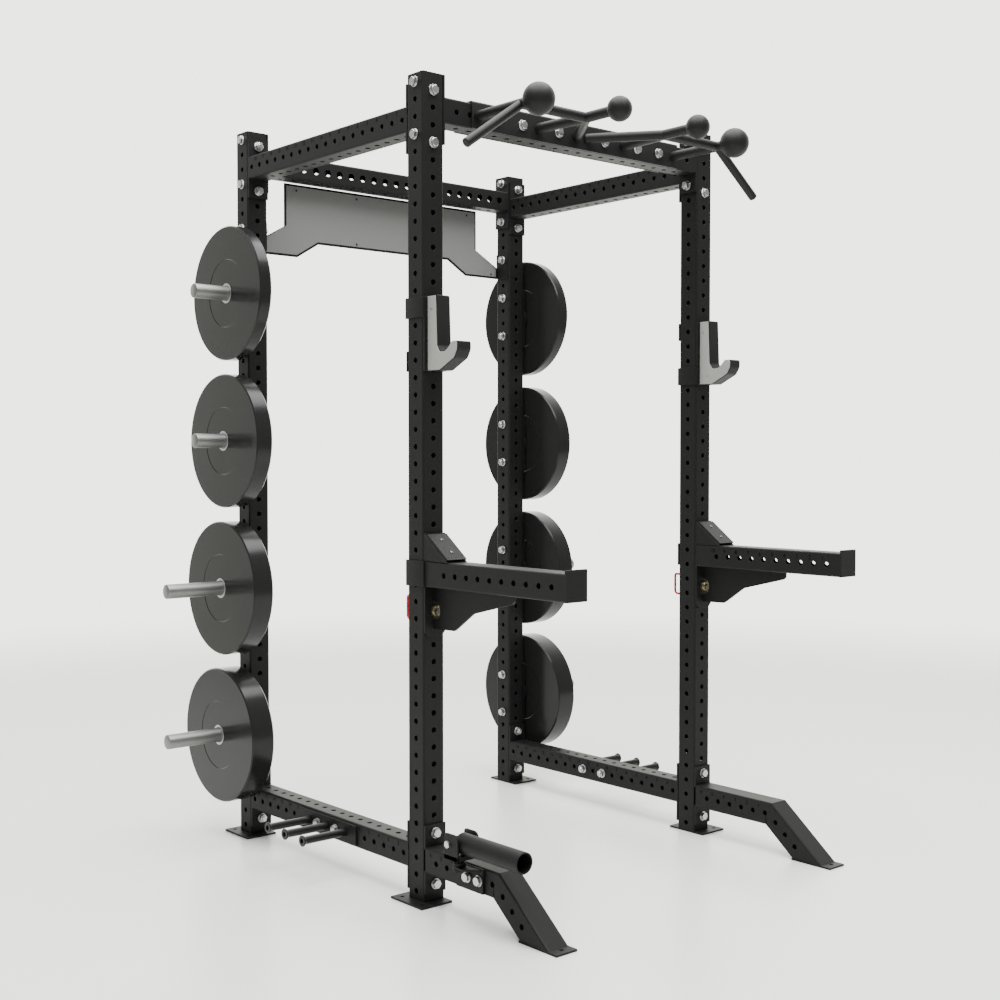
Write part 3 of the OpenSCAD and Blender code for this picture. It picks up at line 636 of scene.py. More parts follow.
FOOT_RUN = 320.0
FOOT_ANGLE = math.radians(39.2)
FOOT_FLANGE_Y = -FACE_Y - FLANGE_T
FOOT_BEND_Y = FOOT_FLANGE_Y - FOOT_RUN
FOOT_TOE_Y = FOOT_BEND_Y - (LOW_BAR_Z - FLANGE_T) / math.tan(FOOT_ANGLE)
FOOT_PLATE_REAR = FOOT_TOE_Y + HALF / math.sin(FOOT_ANGLE)
FOOT_PLATE_FRONT = FOOT_PLATE_REAR - 152.4
FOOT_HOLES = 6
LEG_HOLES = 3
LEG_HOLE_START = 37.5


def foot_hole(i):
    """Middle of hole i in a foot's level tube, as (y, z)."""
    return FOOT_FLANGE_Y - (i + 1) * PITCH, LOW_BAR_Z


def front_foot(s):
    name = f"front_foot_{SIDE_NAME[s]}"
    shape = Shape()
    # both tubes have their local Y up, where they meet in a mitre
    mitre = math.tan(FOOT_ANGLE / 2)
    level = at(s * POST_X, -FACE_Y, LOW_BAR_Z) @ Matrix.Rotation(math.pi / 2, 4, "X")
    holes = [(i + 1) * PITCH + FLANGE_T for i in range(FOOT_HOLES)]
    shape.tube(FOOT_RUN + FLANGE_T, {0: holes, 2: holes}, level, slope_high=mitre)
    bend = at(s * POST_X, FOOT_BEND_Y, LOW_BAR_Z)
    leg = bend @ Matrix.Rotation(math.pi / 2 + FOOT_ANGLE, 4, "X")
    length = (LOW_BAR_Z - FLANGE_T) / math.sin(FOOT_ANGLE)
    level_end = 1 / math.tan(FOOT_ANGLE)
    holes = [LEG_HOLE_START + i * PITCH for i in range(LEG_HOLES)]
    shape.tube(length, {0: holes, 2: holes}, leg, slope_low=-mitre, slope_high=level_end)
    flange(shape, facing("-y", s * POST_X, FOOT_FLANGE_Y, LOW_BAR_Z))
    plate = at(s * POST_X, 0, FLANGE_T)
    span = (FOOT_PLATE_FRONT, FOOT_PLATE_REAR)
    anchors = [(0, FOOT_PLATE_FRONT + 22)]
    shape.slab((-HALF, HALF), span, anchors, ANCHOR_R, FLANGE_T, plate)
    shape.piece(name + "_steel", POWDER, replaces=[name], slot="frame")


# ---- Name plate ----

NAME_Y = FACE_Y - 1.4
TAB_T = 3.0
NAME_TOP = CROSS_Z - HALF - 3
NAME_LOW = side_z(8.43)
NAME_FACE_T = 2.0
NAME_FACE_INSET = 8.0
TAB_H = 97.0
NAME_SCREWS = [
    (395, NAME_TOP - 22), (133, NAME_TOP - 22), (133, side_z(7.36) + 17),
    (522, side_z(8.1)),
]


def name_outline(m):
    """Outline of the name plate as (x, z), with its edge m inside the back plate's."""
    half = [
        (445 - m, NAME_TOP - m), (445 - m, side_z(6.35) + 0.4 * m),
        (INNER_X - TAB_T - m, side_z(7.58) - 0.2 * m),
        (INNER_X - TAB_T - m, NAME_LOW + m), (391 + 0.3 * m, NAME_LOW + m),
        (301 + 0.3 * m, side_z(7.36) + m),
    ]
    return half + [(-x, z) for x, z in reversed(half)]


def name_plate():
    back = Shape()
    back.front_prism(name_outline(0), NAME_Y - TAB_T, NAME_Y)
    for s in SIDES:
        x0, x1 = sorted((s * INNER_X, s * (INNER_X - TAB_T)))
        back.block((x0, INNER_Y + 6, NAME_LOW), (x1, NAME_Y, NAME_LOW + TAB_H))
    back.piece("name_back_plate", POWDER, replaces=["name_plate_backing"], slot="frame")
    face = Shape()
    rear = NAME_Y - TAB_T
    face.front_prism(name_outline(NAME_FACE_INSET), rear - NAME_FACE_T, rear, 0.4)
    face.piece("name_face", NAME_FACE, replaces=["name_plate_face"], slot="name_face")


# ---- Pull-up attachment ----

SADDLE_HALF = 453.0
SADDLE_T = 6.0
SADDLE_Y = -FACE_Y - SADDLE_T
SADDLE_BOLTS = (101.6, 254, 355.6)
GRIP_R = 16.0
HANDLE_R = 14.0
OUTER_X = 429.0
INNER_GRIP_X = 172.0
INNER_ROOT_X = 187.0
BRACE_ROOT_X = 20.0
ELBOW_Y = -735.0
LARGE_BALL_Y = -808.0
LARGE_BALL_R = 47.5
SMALL_BALL_Y = -877.0
SMALL_BALL_R = 37.5
HANDLE_TIP = (630.0, -724.0, CROSS_Z - 141.0)


def saddle():
    shape = Shape()
    t = SADDLE_T
    front = SADDLE_Y
    rear = -INNER_Y + t
    top = CROSS_Z + HALF + t
    low = CROSS_Z - HALF
    section = [
        (front, low), (front + t, low), (front + t, top - t), (rear - t, top - t),
        (rear - t, low), (rear, low), (rear, top, 8), (front, top, 8),
    ]
    shape.side_prism(rounded(section, 0, 5), 0, 2 * SADDLE_HALF)
    shape.piece("pull_up_saddle_steel", GRIP_COAT, replaces=["pull_up_saddle"], slot="grips")


def grips():
    """Welded tubes, whose ends run a little into one another, and the balls and handles on them."""
    tubes, balls = Shape(), Shape()
    z = CROSS_Z
    for s in SIDES:
        elbow = (s * INNER_GRIP_X, ELBOW_Y, z)
        outer = [(s * OUTER_X, SADDLE_Y, z), (s * OUTER_X, LARGE_BALL_Y + 20, z)]
        across = [(s * (OUTER_X - 4), ELBOW_Y, z), elbow]
        inner = [(s * INNER_ROOT_X, SADDLE_Y, z), elbow, (s * INNER_GRIP_X, SMALL_BALL_Y + 15, z)]
        brace = [(s * BRACE_ROOT_X, SADDLE_Y + 1, z), (s * (INNER_GRIP_X - 3), ELBOW_Y, z)]
        tubes.pipe(outer, GRIP_R, 1)
        tubes.pipe(across, GRIP_R - 0.4, 1)
        tubes.pipe(inner, GRIP_R, 160)
        tubes.pipe(brace, GRIP_R - 0.8, 1)
        tip_x, tip_y, tip_z = HANDLE_TIP
        tubes.rod((s * OUTER_X, ELBOW_Y, z), (s * tip_x, tip_y, tip_z), HANDLE_R, bevel=2.5)
        balls.ball((s * OUTER_X, LARGE_BALL_Y, z), LARGE_BALL_R)
        balls.ball((s * INNER_GRIP_X, SMALL_BALL_Y, z), SMALL_BALL_R)
    tubes.piece("grip_tubes_steel", GRIP_COAT, replaces=["grip_tubes"], slot="grips")
    balls.piece("grip_balls_steel", GRIP_COAT, replaces=["grip_balls"], slot="grips")


# ---- Plate storage ----

HORN_ROWS = (11.5, 21.5, 31.5, 41.5)
SLEEVE_R = 24.5
SLEEVE_LENGTH = (190, 190, 300, 300)
STOP_R = 38.0
STOP_T = 15.0
STORAGE_FLANGE_H = 236.0
PLATE_R = 230.0
PLATE_T = (45, 60, 74, 84)
PLATE_X = FACE_X + FLANGE_T + STOP_T + 0.4
HUB_R = 34.0
RECESS_R = 115.0
RECESS_T = 1.5
BORE_R = 25.4


def out_of_side(s, x, y, z):
    """Place whose +Z points out of the cage's side."""
    return at(s * x, y, z) @ Matrix.Rotation(s * math.pi / 2, 4, "Y")


def storage():
    """Flanges with their stop rings, and the sleeves that carry the plates."""
    flanges, sleeves = Shape(), Shape()
    inner = SLEEVE_R + 0.1
    stop = FLANGE_T + STOP_T
    ring = [
        (inner, FLANGE_T), (STOP_R, FLANGE_T), (STOP_R, stop - 1.5),
        (STOP_R - 1.5, stop), (inner, stop),
    ]
    for s in SIDES:
        for row, end in zip(HORN_ROWS, SLEEVE_LENGTH):
            z = side_z(row)
            axis = "+x" if s > 0 else "-x"
            flange(flanges, facing(axis, s * (FACE_X + FLANGE_T), POST_Y, z), STORAGE_FLANGE_H)
            out = out_of_side(s, FACE_X, POST_Y, z)
            flanges.lathe(ring, out, 56)
            bar = [
                (AXIS, 1), (SLEEVE_R, 1), (SLEEVE_R, end - 2.5),
                (SLEEVE_R - 0.7, end - 0.8), (SLEEVE_R - 2.5, end), (AXIS, end),
            ]
            sleeves.lathe(bar, out, 64)
    flanges.piece("storage_flanges_steel", POWDER, replaces=["storage_flanges"], slot="frame")
    sleeves.piece("storage_sleeves_steel", STEEL, replaces=["storage_sleeves"], slot="sleeves")


def bumper(s, i):
    """Rubber disc with a shallow round recess in both faces, and its steel hub."""
    t = PLATE_T[i]
    out = out_of_side(s, PLATE_X, POST_Y, side_z(HORN_ROWS[i]))
    suffix = f"{SIDE_NAME[s]}_{i + 1}"
    # half of each section, as (radius, depth below the face)
    disc_half = [
        (HUB_R, RECESS_T), (RECESS_R, RECESS_T), (RECESS_R + 2, 0),
        (PLATE_R - 4, 0), (PLATE_R, 4),
    ]
    hub_half = [(BORE_R, 1.5), (BORE_R + 1.5, 0), (HUB_R - 0.6, 0), (HUB_R, 0.6)]
    disc, hub = Shape(), Shape()
    disc.lathe(disc_half + [(r, t - depth) for r, depth in reversed(disc_half)], out, 144)
    hub.lathe(hub_half + [(r, t - depth) for r, depth in reversed(hub_half)], out, 72)
    body = "bumper_" + suffix
    disc.piece(f"plate_{suffix}_rubber", RUBBER, body, ["plate_" + suffix], "rubber", smooth=25)
    hub.piece(f"hub_{suffix}_steel", HUB, body, ["hub_" + suffix], "hub")


# ---- Band pegs ----

PEG_Y = [(9.5 - i) * PITCH for i in (8, 10, 12)]
PEG_PLATE_H = 62.0
PEG_PLATE_L = 328.0
PEG_LENGTH = 159.0


def band_pegs():
    """Brackets on the bottom side bars, each with three pegs that have a flared, hollow end."""
    brackets, pegs = Shape(), Shape()
    n = PEG_LENGTH
    peg = [
        (AXIS, 0), (12.5, 0), (12.5, n - 12), (13.4, n - 9.5), (16.6, n - 5.6),
        (17.5, n - 4), (17.5, n - 1), (16.5, n), (9, n), (8, n - 1), (8, n - 60),
        (AXIS, n - 60),
    ]
    for s in SIDES:
        x0, x1 = sorted((s * FACE_X, s * (FACE_X + FLANGE_T)))
        low = (x0, PEG_Y[1] - PEG_PLATE_L / 2, LOW_BAR_Z - PEG_PLATE_H / 2)
        high = (x1, PEG_Y[1] + PEG_PLATE_L / 2, LOW_BAR_Z + PEG_PLATE_H / 2)
        brackets.block(low, high, 1)
        for y in PEG_Y:
            pegs.lathe(peg, out_of_side(s, FACE_X + FLANGE_T, y, LOW_BAR_Z), 40)
    brackets.piece("band_peg_plates", POWDER, replaces=["band_peg_brackets"], slot="frame")
    pegs.piece("band_pegs_steel", PEG, replaces=["band_pegs"], slot="pegs")


# ---- Spotter arms ----

PIN_Z = front_z(31)
ARM_Z = front_z(29) + 8
MOUNT_T = 6.35
GAP = 0.4
MOUNT_Y = -FACE_Y - GAP - MOUNT_T
STRAP_T = 5.0
ARM_LIP = 10.0
PLATE_LOW = PIN_Z - 1.5 * PITCH
PLATE_HIGH = PLATE_LOW + 6 * PITCH
WEDGE_TOP = PLATE_HIGH - 4
WEDGE_FRONT = MOUNT_Y - 104
ARM_TOP = ARM_Z + HALF
ARM_HOLES = 10
GUSSET_T = 8.0
NOTCH_R = 28.0
SLOPE = math.hypot(WEDGE_FRONT - MOUNT_Y, WEDGE_TOP - ARM_TOP)
PAD_T = 8.0
PAD_SCREWS = (34, SLOPE - 38)
PIN_HEAD_R = 13.0
PIN_REAR = -INNER_Y + 10
LOOP_R = 4.0
LOOP_HALF = 39.0
LOOP_REAR = -402.0


def strap(shape, s, side, low, high):
    """Strap bent round one side of an upright, from just inside a mount to the rear face."""
    front = MOUNT_Y + 0.3
    mount_rear = MOUNT_Y + MOUNT_T - 0.3
    rear = -INNER_Y + GAP
    inner = HALF + GAP
    outer = inner + STRAP_T
    outline = [
        (inner - 3, front), (outer, front, 2), (outer, rear + STRAP_T, 4),
        (-HALF, rear + STRAP_T), (-HALF, rear), (inner, rear), (inner, mount_rear),
        (inner - 3, mount_rear),
    ]
    placed = [(s * POST_X + side * x, y) for x, y in rounded(outline, 0)]
    shape.prism(placed, low, high)


def arm_hole_y(i):
    """Hole i of a spotter arm, counted from 1 at the tip."""
    return ARM_TIP + 7 + i * PITCH


def spotter_arm(s):
    """Mount with a strap, arm tube with a lipped end, gusset below and wedge above."""
    shape = Shape()
    x = s * POST_X
    plate = [
        (x - HALF, PLATE_LOW + 14), (x - HALF + 14, PLATE_LOW),
        (x + HALF - 14, PLATE_LOW), (x + HALF, PLATE_LOW + 14),
        (x + HALF, PLATE_HIGH), (x - HALF, PLATE_HIGH),
    ]
    shape.front_prism(plate, MOUNT_Y, MOUNT_Y + MOUNT_T)
    strap(shape, s, s, ARM_Z - HALF, ARM_TOP)
    length = MOUNT_Y - ARM_TIP - FLANGE_T
    place = at(x, MOUNT_Y, ARM_Z) @ Matrix.Rotation(math.pi / 2, 4, "X")
    holes = [MOUNT_Y - arm_hole_y(i) for i in range(1, ARM_HOLES + 1)]
    shape.tube(length, {0: holes, 2: holes}, place)
    lip_corner = (x + HALF, ARM_TIP + FLANGE_T, ARM_TOP + ARM_LIP)
    shape.block((x - HALF, ARM_TIP, ARM_Z - HALF), lip_corner, 0.8)
    # the gusset has a half-round notch for the collar
    turns = [math.pi * k / 12 for k in range(13)]
    notch = [(MOUNT_Y - NOTCH_R * math.sin(a), PIN_Z - NOTCH_R * math.cos(a)) for a in turns]
    gusset = [
        (MOUNT_Y, PLATE_LOW + 22),
        *notch,
        (MOUNT_Y, ARM_Z - HALF), (MOUNT_Y - 358, ARM_Z - HALF),
        (MOUNT_Y - 357, PIN_Z + 54), (MOUNT_Y - 349, PIN_Z + 46),
        (MOUNT_Y - 180, PIN_Z + 5), (MOUNT_Y - 102, PLATE_LOW + 29),
        (MOUNT_Y - 92, PLATE_LOW + 24),
    ]
    shape.side_prism(gusset, x, GUSSET_T, 0.5)
    wedge = [(MOUNT_Y, ARM_TOP), (MOUNT_Y, WEDGE_TOP), (WEDGE_FRONT, ARM_TOP)]
    shape.side_prism(wedge, x, TUBE - 0.4, 0.8)
    name = "spotter_arm_" + SIDE_NAME[s]
    shape.piece(name + "_steel", POWDER, replaces=[name], slot="frame")


def slope_point(t, n):
    """Point (y, z) t along the wedge's slope from its top and n off its surface."""
    top = Vector((MOUNT_Y, WEDGE_TOP))
    down = (Vector((WEDGE_FRONT, ARM_TOP)) - top).normalized()
    return tuple(top + down * t + Vector((down.y, -down.x)) * n)


def pads_and_collars():
    """Pads on the wedges, and the collars that the locking pins come out of."""
    pads, collars = Shape(), Shape()
    pad = [
        slope_point(3, 0.1),
        slope_point(SLOPE - 8, 0.1),
        slope_point(SLOPE - 4, PAD_T),
        slope_point(7, PAD_T),
    ]
    collar = [(8.3, 0), (18.5, 0), (18.5, 15.5), (17.5, 17), (15.5, 17), (15, 14.5), (8.3, 14.5)]
    for s in SIDES:
        pads.side_prism(pad, s * POST_X, TUBE - 4, 1.2)
        collars.lathe(collar, at(s * POST_X, MOUNT_Y, PIN_Z) @ aim((0, -1, 0)))
    pads.piece("spotter_pad_plastic", PAD, replaces=["spotter_pads"], slot="pad")
    nodes = ["spotter_pin_collars"]
    collars.piece("spotter_collars_zinc", YELLOW_ZINC, replaces=nodes, slot="zinc")


def locking_pin(s):
    """Steel pin with a head at the rear of the upright, and its red loop handle."""
    body = "locking_pin_" + SIDE_NAME[s]
    x = s * POST_X
    pin = Shape()
    pin.rod((x, MOUNT_Y - 18, PIN_Z), (x, PIN_REAR, PIN_Z), BOLT_R, bevel=1.5)
    pin.rod((x, -INNER_Y + 1.5, PIN_Z), (x, PIN_REAR, PIN_Z), PIN_HEAD_R, bevel=1)
    name = "spotter_pin_" + SIDE_NAME[s]
    pin.piece(name + "_steel", PIN_STEEL, body, [name], "pins")
    # the loop starts and ends in the middle of its top side
    near = PIN_REAR + GAP + LOOP_R
    far = LOOP_REAR - LOOP_R
    middle = (near + far) / 2
    top = PIN_Z + LOOP_HALF - LOOP_R
    low = PIN_Z - LOOP_HALF + LOOP_R
    corners = [(middle, top), (far, top), (far, low), (near, low), (near, top), (middle + 0.5, top)]
    loop = Shape()
    loop.pipe([(x, y, z) for y, z in corners], LOOP_R, 14)
    name = "spotter_pin_handle_" + SIDE_NAME[s]
    loop.piece(name + "_loop", RED, body, [name], "red")


# ---- J-cups ----

JCUP_Z = front_z(15)
CUP_HALF = 27.0
CUP_CHEEK = 3.0
CUP_PROUD = 2.5
CUP_TALL = 108.0
CUP_EDGE = 48.0
CUP_SCREWS = ((18, 70), (38, -82))


def cup_outline(m):
    """Side outline of the cup as (y, z); m makes its working faces stand proud."""
    # forward, up, the direction in which the point moves with m, and the corner's radius
    points = [
        (0, 108, 0, 1, 0), (37, 108, 0.9, 1, 3), (43, -38, 1, 0.4, 14),
        (55, -56, 0.5, 1, 12), (84, -56, -0.3, 1, 30), (111, -30, -0.7, 0.8, 5),
        (134.5, -30, 1, 0.8, 5), (134.5, -52, 1, -0.2, 26),
        (121, -75, 0.7, -0.7, 20), (54, -107.5, 0.2, -0.6, 6),
        (0, -107.5, 0, -0.6, 0),
    ]
    placed = [(MOUNT_Y - 0.2 - u - m * du, JCUP_Z + v + m * dv, r) for u, v, du, dv, r in points]
    return rounded(placed, 0, 6)


def jcup(s):
    """Bracket with two straps and a pin, two light cheeks with screws, and a dark core."""
    side = SIDE_NAME[s]
    body = "jcup_" + side
    x = s * POST_X
    rear = MOUNT_Y + MOUNT_T
    low = JCUP_Z - CUP_TALL
    high = JCUP_Z + CUP_TALL
    bracket = Shape()
    bracket.block((x - HALF, MOUNT_Y, low), (x + HALF, rear, high), 1)
    strap(bracket, s, s, JCUP_Z + CUP_EDGE, high)
    strap(bracket, s, -s, low, JCUP_Z - CUP_EDGE)
    bracket.rod((x, rear - 1, JCUP_Z), (x, rear + 21, JCUP_Z), BOLT_R, bevel=2.5)
    bracket.piece(f"jcup_bracket_{side}_steel", POWDER, body, ["jcup_bracket_" + side], "frame")
    cheeks, screws, liner = Shape(), Shape(), Shape()
    screw = [(AXIS, 0), (3.6, 0), (3.6, 1.1), (3.0, 1.5), (AXIS, 1.5)]
    for end in SIDES:
        cheeks.side_prism(cup_outline(0), x + end * (CUP_HALF - CUP_CHEEK / 2), CUP_CHEEK, 1.0)
        for u, v in CUP_SCREWS:
            seat = at(x + end * (CUP_HALF - 1.0), MOUNT_Y - u, JCUP_Z + v)
            screws.lathe(screw, seat @ aim((end, 0, 0)), SEGMENTS)
    liner.side_prism(cup_outline(CUP_PROUD), x, 2 * (CUP_HALF - CUP_CHEEK) - 0.2, 1.2)
    name = "jcup_cheeks_" + side
    cheeks.piece(name + "_plastic", CUP_LIGHT, body, [name], "cup_cheek")
    screws.piece("jcup_screws_" + side, ZINC, body)
    name = "jcup_liner_" + side
    liner.piece(name + "_plastic", CUP_DARK, body, [name], "cup_liner")


# ---- Landmine ----

LANDMINE_X = node_middle("landmine_yoke")[0]
LANDMINE_Y = node_middle("landmine_pivot_bolt")[1] - Y_SHIFT
LANDMINE_Z = node_middle("landmine_pivot_bolt")[2]
LANDMINE_TIP = node_box("landmine_sleeve")[0][1] - Y_SHIFT
LANDMINE_R = 30.0
LANDMINE_BORE_R = 26.0
YOKE_HALF = 39.0
YOKE_T = 6.0
YOKE_LOW = 190.0
YOKE_FLOOR = 203.6
YOKE_HIGH = LANDMINE_Z + 30
YOKE_REAR = LANDMINE_Y + 20
YOKE_FRONT = LANDMINE_Y - 40
BRACKET_T = 6.35
BRACKET_FRONT = -812.0
BRACKET_REAR = -694.0
SHELF_Z = 160.0
SWIVEL_R = 19.0
SWIVEL_PIN_R = 10.0
SWIVEL_LOW = 154.0
SWIVEL_HIGH = 178.0
SWIVEL_CAP_T = 3.0


def landmine_base():
    """Bracket on the left foot with a shelf, and the barrel that the yoke swivels in."""
    base = Shape()
    low = LOW_BAR_Z - HALF
    base.block(
        (-FACE_X - BRACKET_T, BRACKET_FRONT, low + 2), (-FACE_X, BRACKET_REAR, low + 73), 1
    )
    shelf = [
        (-FACE_X, BRACKET_FRONT), (-FACE_X, BRACKET_REAR),
        (LANDMINE_X, LANDMINE_Y + SWIVEL_R), (LANDMINE_X - SWIVEL_R, LANDMINE_Y),
        (LANDMINE_X - SWIVEL_R, LANDMINE_Y - 42),
    ]
    base.prism(rounded(shelf, 5), SHELF_Z, SHELF_Z + BRACKET_T, None, 0.8)
    barrel = [
        (SWIVEL_PIN_R + 0.1, SWIVEL_LOW), (SWIVEL_R - 1, SWIVEL_LOW),
        (SWIVEL_R, SWIVEL_LOW + 1), (SWIVEL_R, SWIVEL_HIGH - 1),
        (SWIVEL_R - 1, SWIVEL_HIGH), (SWIVEL_PIN_R + 0.1, SWIVEL_HIGH),
    ]
    base.lathe(barrel, at(LANDMINE_X, LANDMINE_Y, 0))
    base.piece("landmine_base_steel", POWDER, replaces=["landmine_base"], slot="frame")


def landmine_yoke():
    """Yoke of a floor and two cheeks on its swivel pin, and the pivot bolt through the cheeks."""
    yoke = Shape()
    left = LANDMINE_X - YOKE_HALF
    right = LANDMINE_X + YOKE_HALF
    yoke.block((left, YOKE_FRONT, YOKE_LOW), (right, YOKE_REAR, YOKE_FLOOR), 1)
    cheek = [
        (YOKE_REAR, YOKE_LOW), (YOKE_FRONT, YOKE_LOW), (YOKE_FRONT, YOKE_HIGH, 16),
        (YOKE_REAR, YOKE_HIGH, 9),
    ]
    for side in SIDES:
        x = LANDMINE_X + side * (YOKE_HALF - YOKE_T / 2)
        yoke.side_prism(rounded(cheek, 0, 6), x, YOKE_T, 0.8)
    foot = SWIVEL_LOW - GAP
    pin = [
        (AXIS, foot - SWIVEL_CAP_T), (14, foot - SWIVEL_CAP_T), (14, foot),
        (SWIVEL_PIN_R, foot), (SWIVEL_PIN_R, SWIVEL_HIGH + GAP),
        (15, SWIVEL_HIGH + GAP), (15, YOKE_LOW + 0.5), (AXIS, YOKE_LOW + 0.5),
    ]
    yoke.lathe(pin, at(LANDMINE_X, LANDMINE_Y, 0), 40)
    yoke.piece("landmine_yoke_steel", POWDER, "swivel", ["landmine_yoke"], "frame")

    bolt = Shape()
    bolt.hexagon(at(left - GAP, LANDMINE_Y, LANDMINE_Z) @ aim((-1, 0, 0)), 19, 8)
    bolt.hexagon(at(right + GAP, LANDMINE_Y, LANDMINE_Z) @ aim((1, 0, 0)), 19, 10)
    start = (left - 3, LANDMINE_Y, LANDMINE_Z)
    bolt.rod(start, (right + 13, LANDMINE_Y, LANDMINE_Z), 6, bevel=1)
    bolt.piece("landmine_bolt_steel", ZINC, "swivel", ["landmine_pivot_bolt"], "bolts")


def landmine_sleeve():
    """Sleeve that takes a bar's end, on a block and a cross barrel round the pivot bolt."""
    sleeve = Shape()
    root = LANDMINE_Y - 15
    n = root - LANDMINE_TIP
    profile = [
        (AXIS, 0), (LANDMINE_R - 1, 0), (LANDMINE_R, 1), (LANDMINE_R, n - 0.8),
        (LANDMINE_R - 0.8, n), (LANDMINE_BORE_R + 0.8, n),
        (LANDMINE_BORE_R, n - 0.8), (LANDMINE_BORE_R, 16), (AXIS, 16),
    ]
    sleeve.lathe(profile, at(LANDMINE_X, root, LANDMINE_Z) @ aim((0, -1, 0)), 64)
    low = (LANDMINE_X - 20, root - 4, LANDMINE_Z - 14)
    sleeve.block(low, (LANDMINE_X + 20, LANDMINE_Y, LANDMINE_Z + 14))
    half = YOKE_HALF - YOKE_T - 0.5
    start = (LANDMINE_X - half, LANDMINE_Y, LANDMINE_Z)
    sleeve.rod(start, (LANDMINE_X + half, LANDMINE_Y, LANDMINE_Z), 18, 48, 1)
    sleeve.piece("landmine_sleeve_steel", POWDER, "sleeve", ["landmine_sleeve"], "frame")


# ---- Fasteners ----


def bolt_list():
    """Each frame bolt as (head seat, direction from head to nut, grip)."""
    bolts = []
    one_plate = TUBE + FLANGE_T
    for s in SIDES:
        inwards = (-s, 0, 0)
        for e in SIDES:
            for row in (1, 4):
                bolts.append(((s * FACE_X, e * POST_Y, side_z(row)), inwards, one_plate))
                bolts.append(((s * POST_X, e * FACE_Y, front_z(row)), (0, -e, 0), one_plate))
        for row in (44, 47):
            front = (s * POST_X, FOOT_FLANGE_Y, front_z(row))
            bolts.append((front, (0, 1, 0), TUBE + 2 * FLANGE_T))
            bolts.append(((s * POST_X, FACE_Y, front_z(row)), (0, -1, 0), one_plate))
        for row in HORN_ROWS:
            for d in (-1.5, 1.5):
                seat = (s * (FACE_X + FLANGE_T), POST_Y, side_z(row + d))
                bolts.append((seat, inwards, one_plate))
        bolts.append(((s * FACE_X, POST_Y, side_z(7)), inwards, TUBE + TAB_T))
        for d in (-PITCH, PITCH):
            seat = (s * (FACE_X + FLANGE_T), PEG_Y[1] + d, LOW_BAR_Z)
            bolts.append((seat, inwards, one_plate))
        for x in SADDLE_BOLTS:
            bolts.append(((s * x, SADDLE_Y, CROSS_Z), (0, 1, 0), TUBE + 2 * SADDLE_T))
    for i in (3, 4):
        y, z = foot_hole(i)
        bolts.append(((-FACE_X - BRACKET_T, y, z), (1, 0, 0), TUBE + BRACKET_T))
    return bolts


def fasteners():
    shape = Shape()
    for index, (seat, direction, grip) in enumerate(bolt_list()):
        direction = Vector(direction)
        head = Vector(seat)
        nut = head + direction * grip
        spin = Matrix.Rotation(math.radians(index * 23 % 60), 4, "Z")
        shape.bolt_head(at(*head) @ aim(-direction) @ spin)
        shape.bolt_tail(at(*nut) @ aim(direction) @ spin)
        shape.rod(head, nut, BOLT_R, count=20, bevel=0.1)
    nodes = ["frame_bolts", "frame_washers", "frame_nuts"]
    shape.piece("frame_fasteners", ZINC, replaces=nodes, slot="bolts")


def small_screws():
    """Screw heads on the spotter pads and on the name plate."""
    pad_screws, name_screws = Shape(), Shape()
    large = [(AXIS, 0), (5.5, 0), (5.2, 1.2), (3.6, 2.1), (AXIS, 2.4)]
    small = [(AXIS, 0), (4, 0), (3.8, 1), (2.6, 1.8), (AXIS, 2)]
    for s in SIDES:
        for t in PAD_SCREWS:
            y, z = slope_point(t, PAD_T)
            above_y, above_z = slope_point(t, PAD_T + 1)
            seat = at(s * POST_X, y, z) @ aim((0, above_y - y, above_z - z))
            pad_screws.lathe(large, seat, SEGMENTS)
        for x, z in NAME_SCREWS:
            seat = at(s * x, NAME_Y - TAB_T - NAME_FACE_T, z) @ aim((0, -1, 0))
            name_screws.lathe(small, seat, SEGMENTS)
    pad_screws.piece("small_screw_heads", PIN_STEEL, replaces=["small_screws"], slot="bolts")
    name_screws.piece("name_plate_screws", PLUG)


# ---- Hole numbers ----

NUMBER_SIZE = 17.55
NUMBER_RISE = 19.0
NUMBER_PROUD = 0.15


def number(text, place):
    """One hole number as a flat mesh, centred on the place and facing its +Z."""
    curve = bpy.data.curves.new("number", "FONT")
    curve.body = text
    curve.size = NUMBER_SIZE * MM
    curve.align_x = "CENTER"
    curve.align_y = "CENTER"
    curve.resolution_u = 2
    thing = bpy.data.objects.new("number", curve)
    mesh = bpy.data.meshes.new_from_object(thing)
    verts = [place @ (v.co / MM) for v in mesh.vertices]
    faces = [list(p.vertices) for p in mesh.polygons]
    bpy.data.objects.remove(thing)
    bpy.data.curves.remove(curve)
    bpy.data.meshes.remove(mesh)
    return verts, faces


def hole_numbers():
    """Numbers on both faces of the side bars and feet, and on the inner faces of the arms, in a
    painted shade that stands for the dark inside the cut-through numerals.
    """
    shape = Shape()
    for s in SIDES:
        for face in SIDES:
            axis = "+x" if face > 0 else "-x"
            x = s * POST_X + face * (HALF + NUMBER_PROUD)
            for z in (SIDE_BAR_Z, LOW_BAR_Z):
                for k in range(SIDE_HOLES):
                    place = facing(axis, x, (k - 9) * PITCH, z + NUMBER_RISE + 5)
                    shape.add(*number(str(k + 1), place))
            for i in range(FOOT_HOLES):
                y, z = foot_hole(i)
                place = facing(axis, x, y + PITCH / 2, z + NUMBER_RISE + 2)
                shape.add(*number(str(FOOT_HOLES - i), place))
            if face == -s:
                for i in range(1, ARM_HOLES + 1):
                    place = facing(axis, x, arm_hole_y(i) + 14, ARM_Z + NUMBER_RISE)
                    shape.add(*number(str(i), place))
    # the numbers carry painted shade, not a colour of their own
    shape.piece("hole_numbers", CUT_NUMBER_SHADE)


# ---- Assembly ----

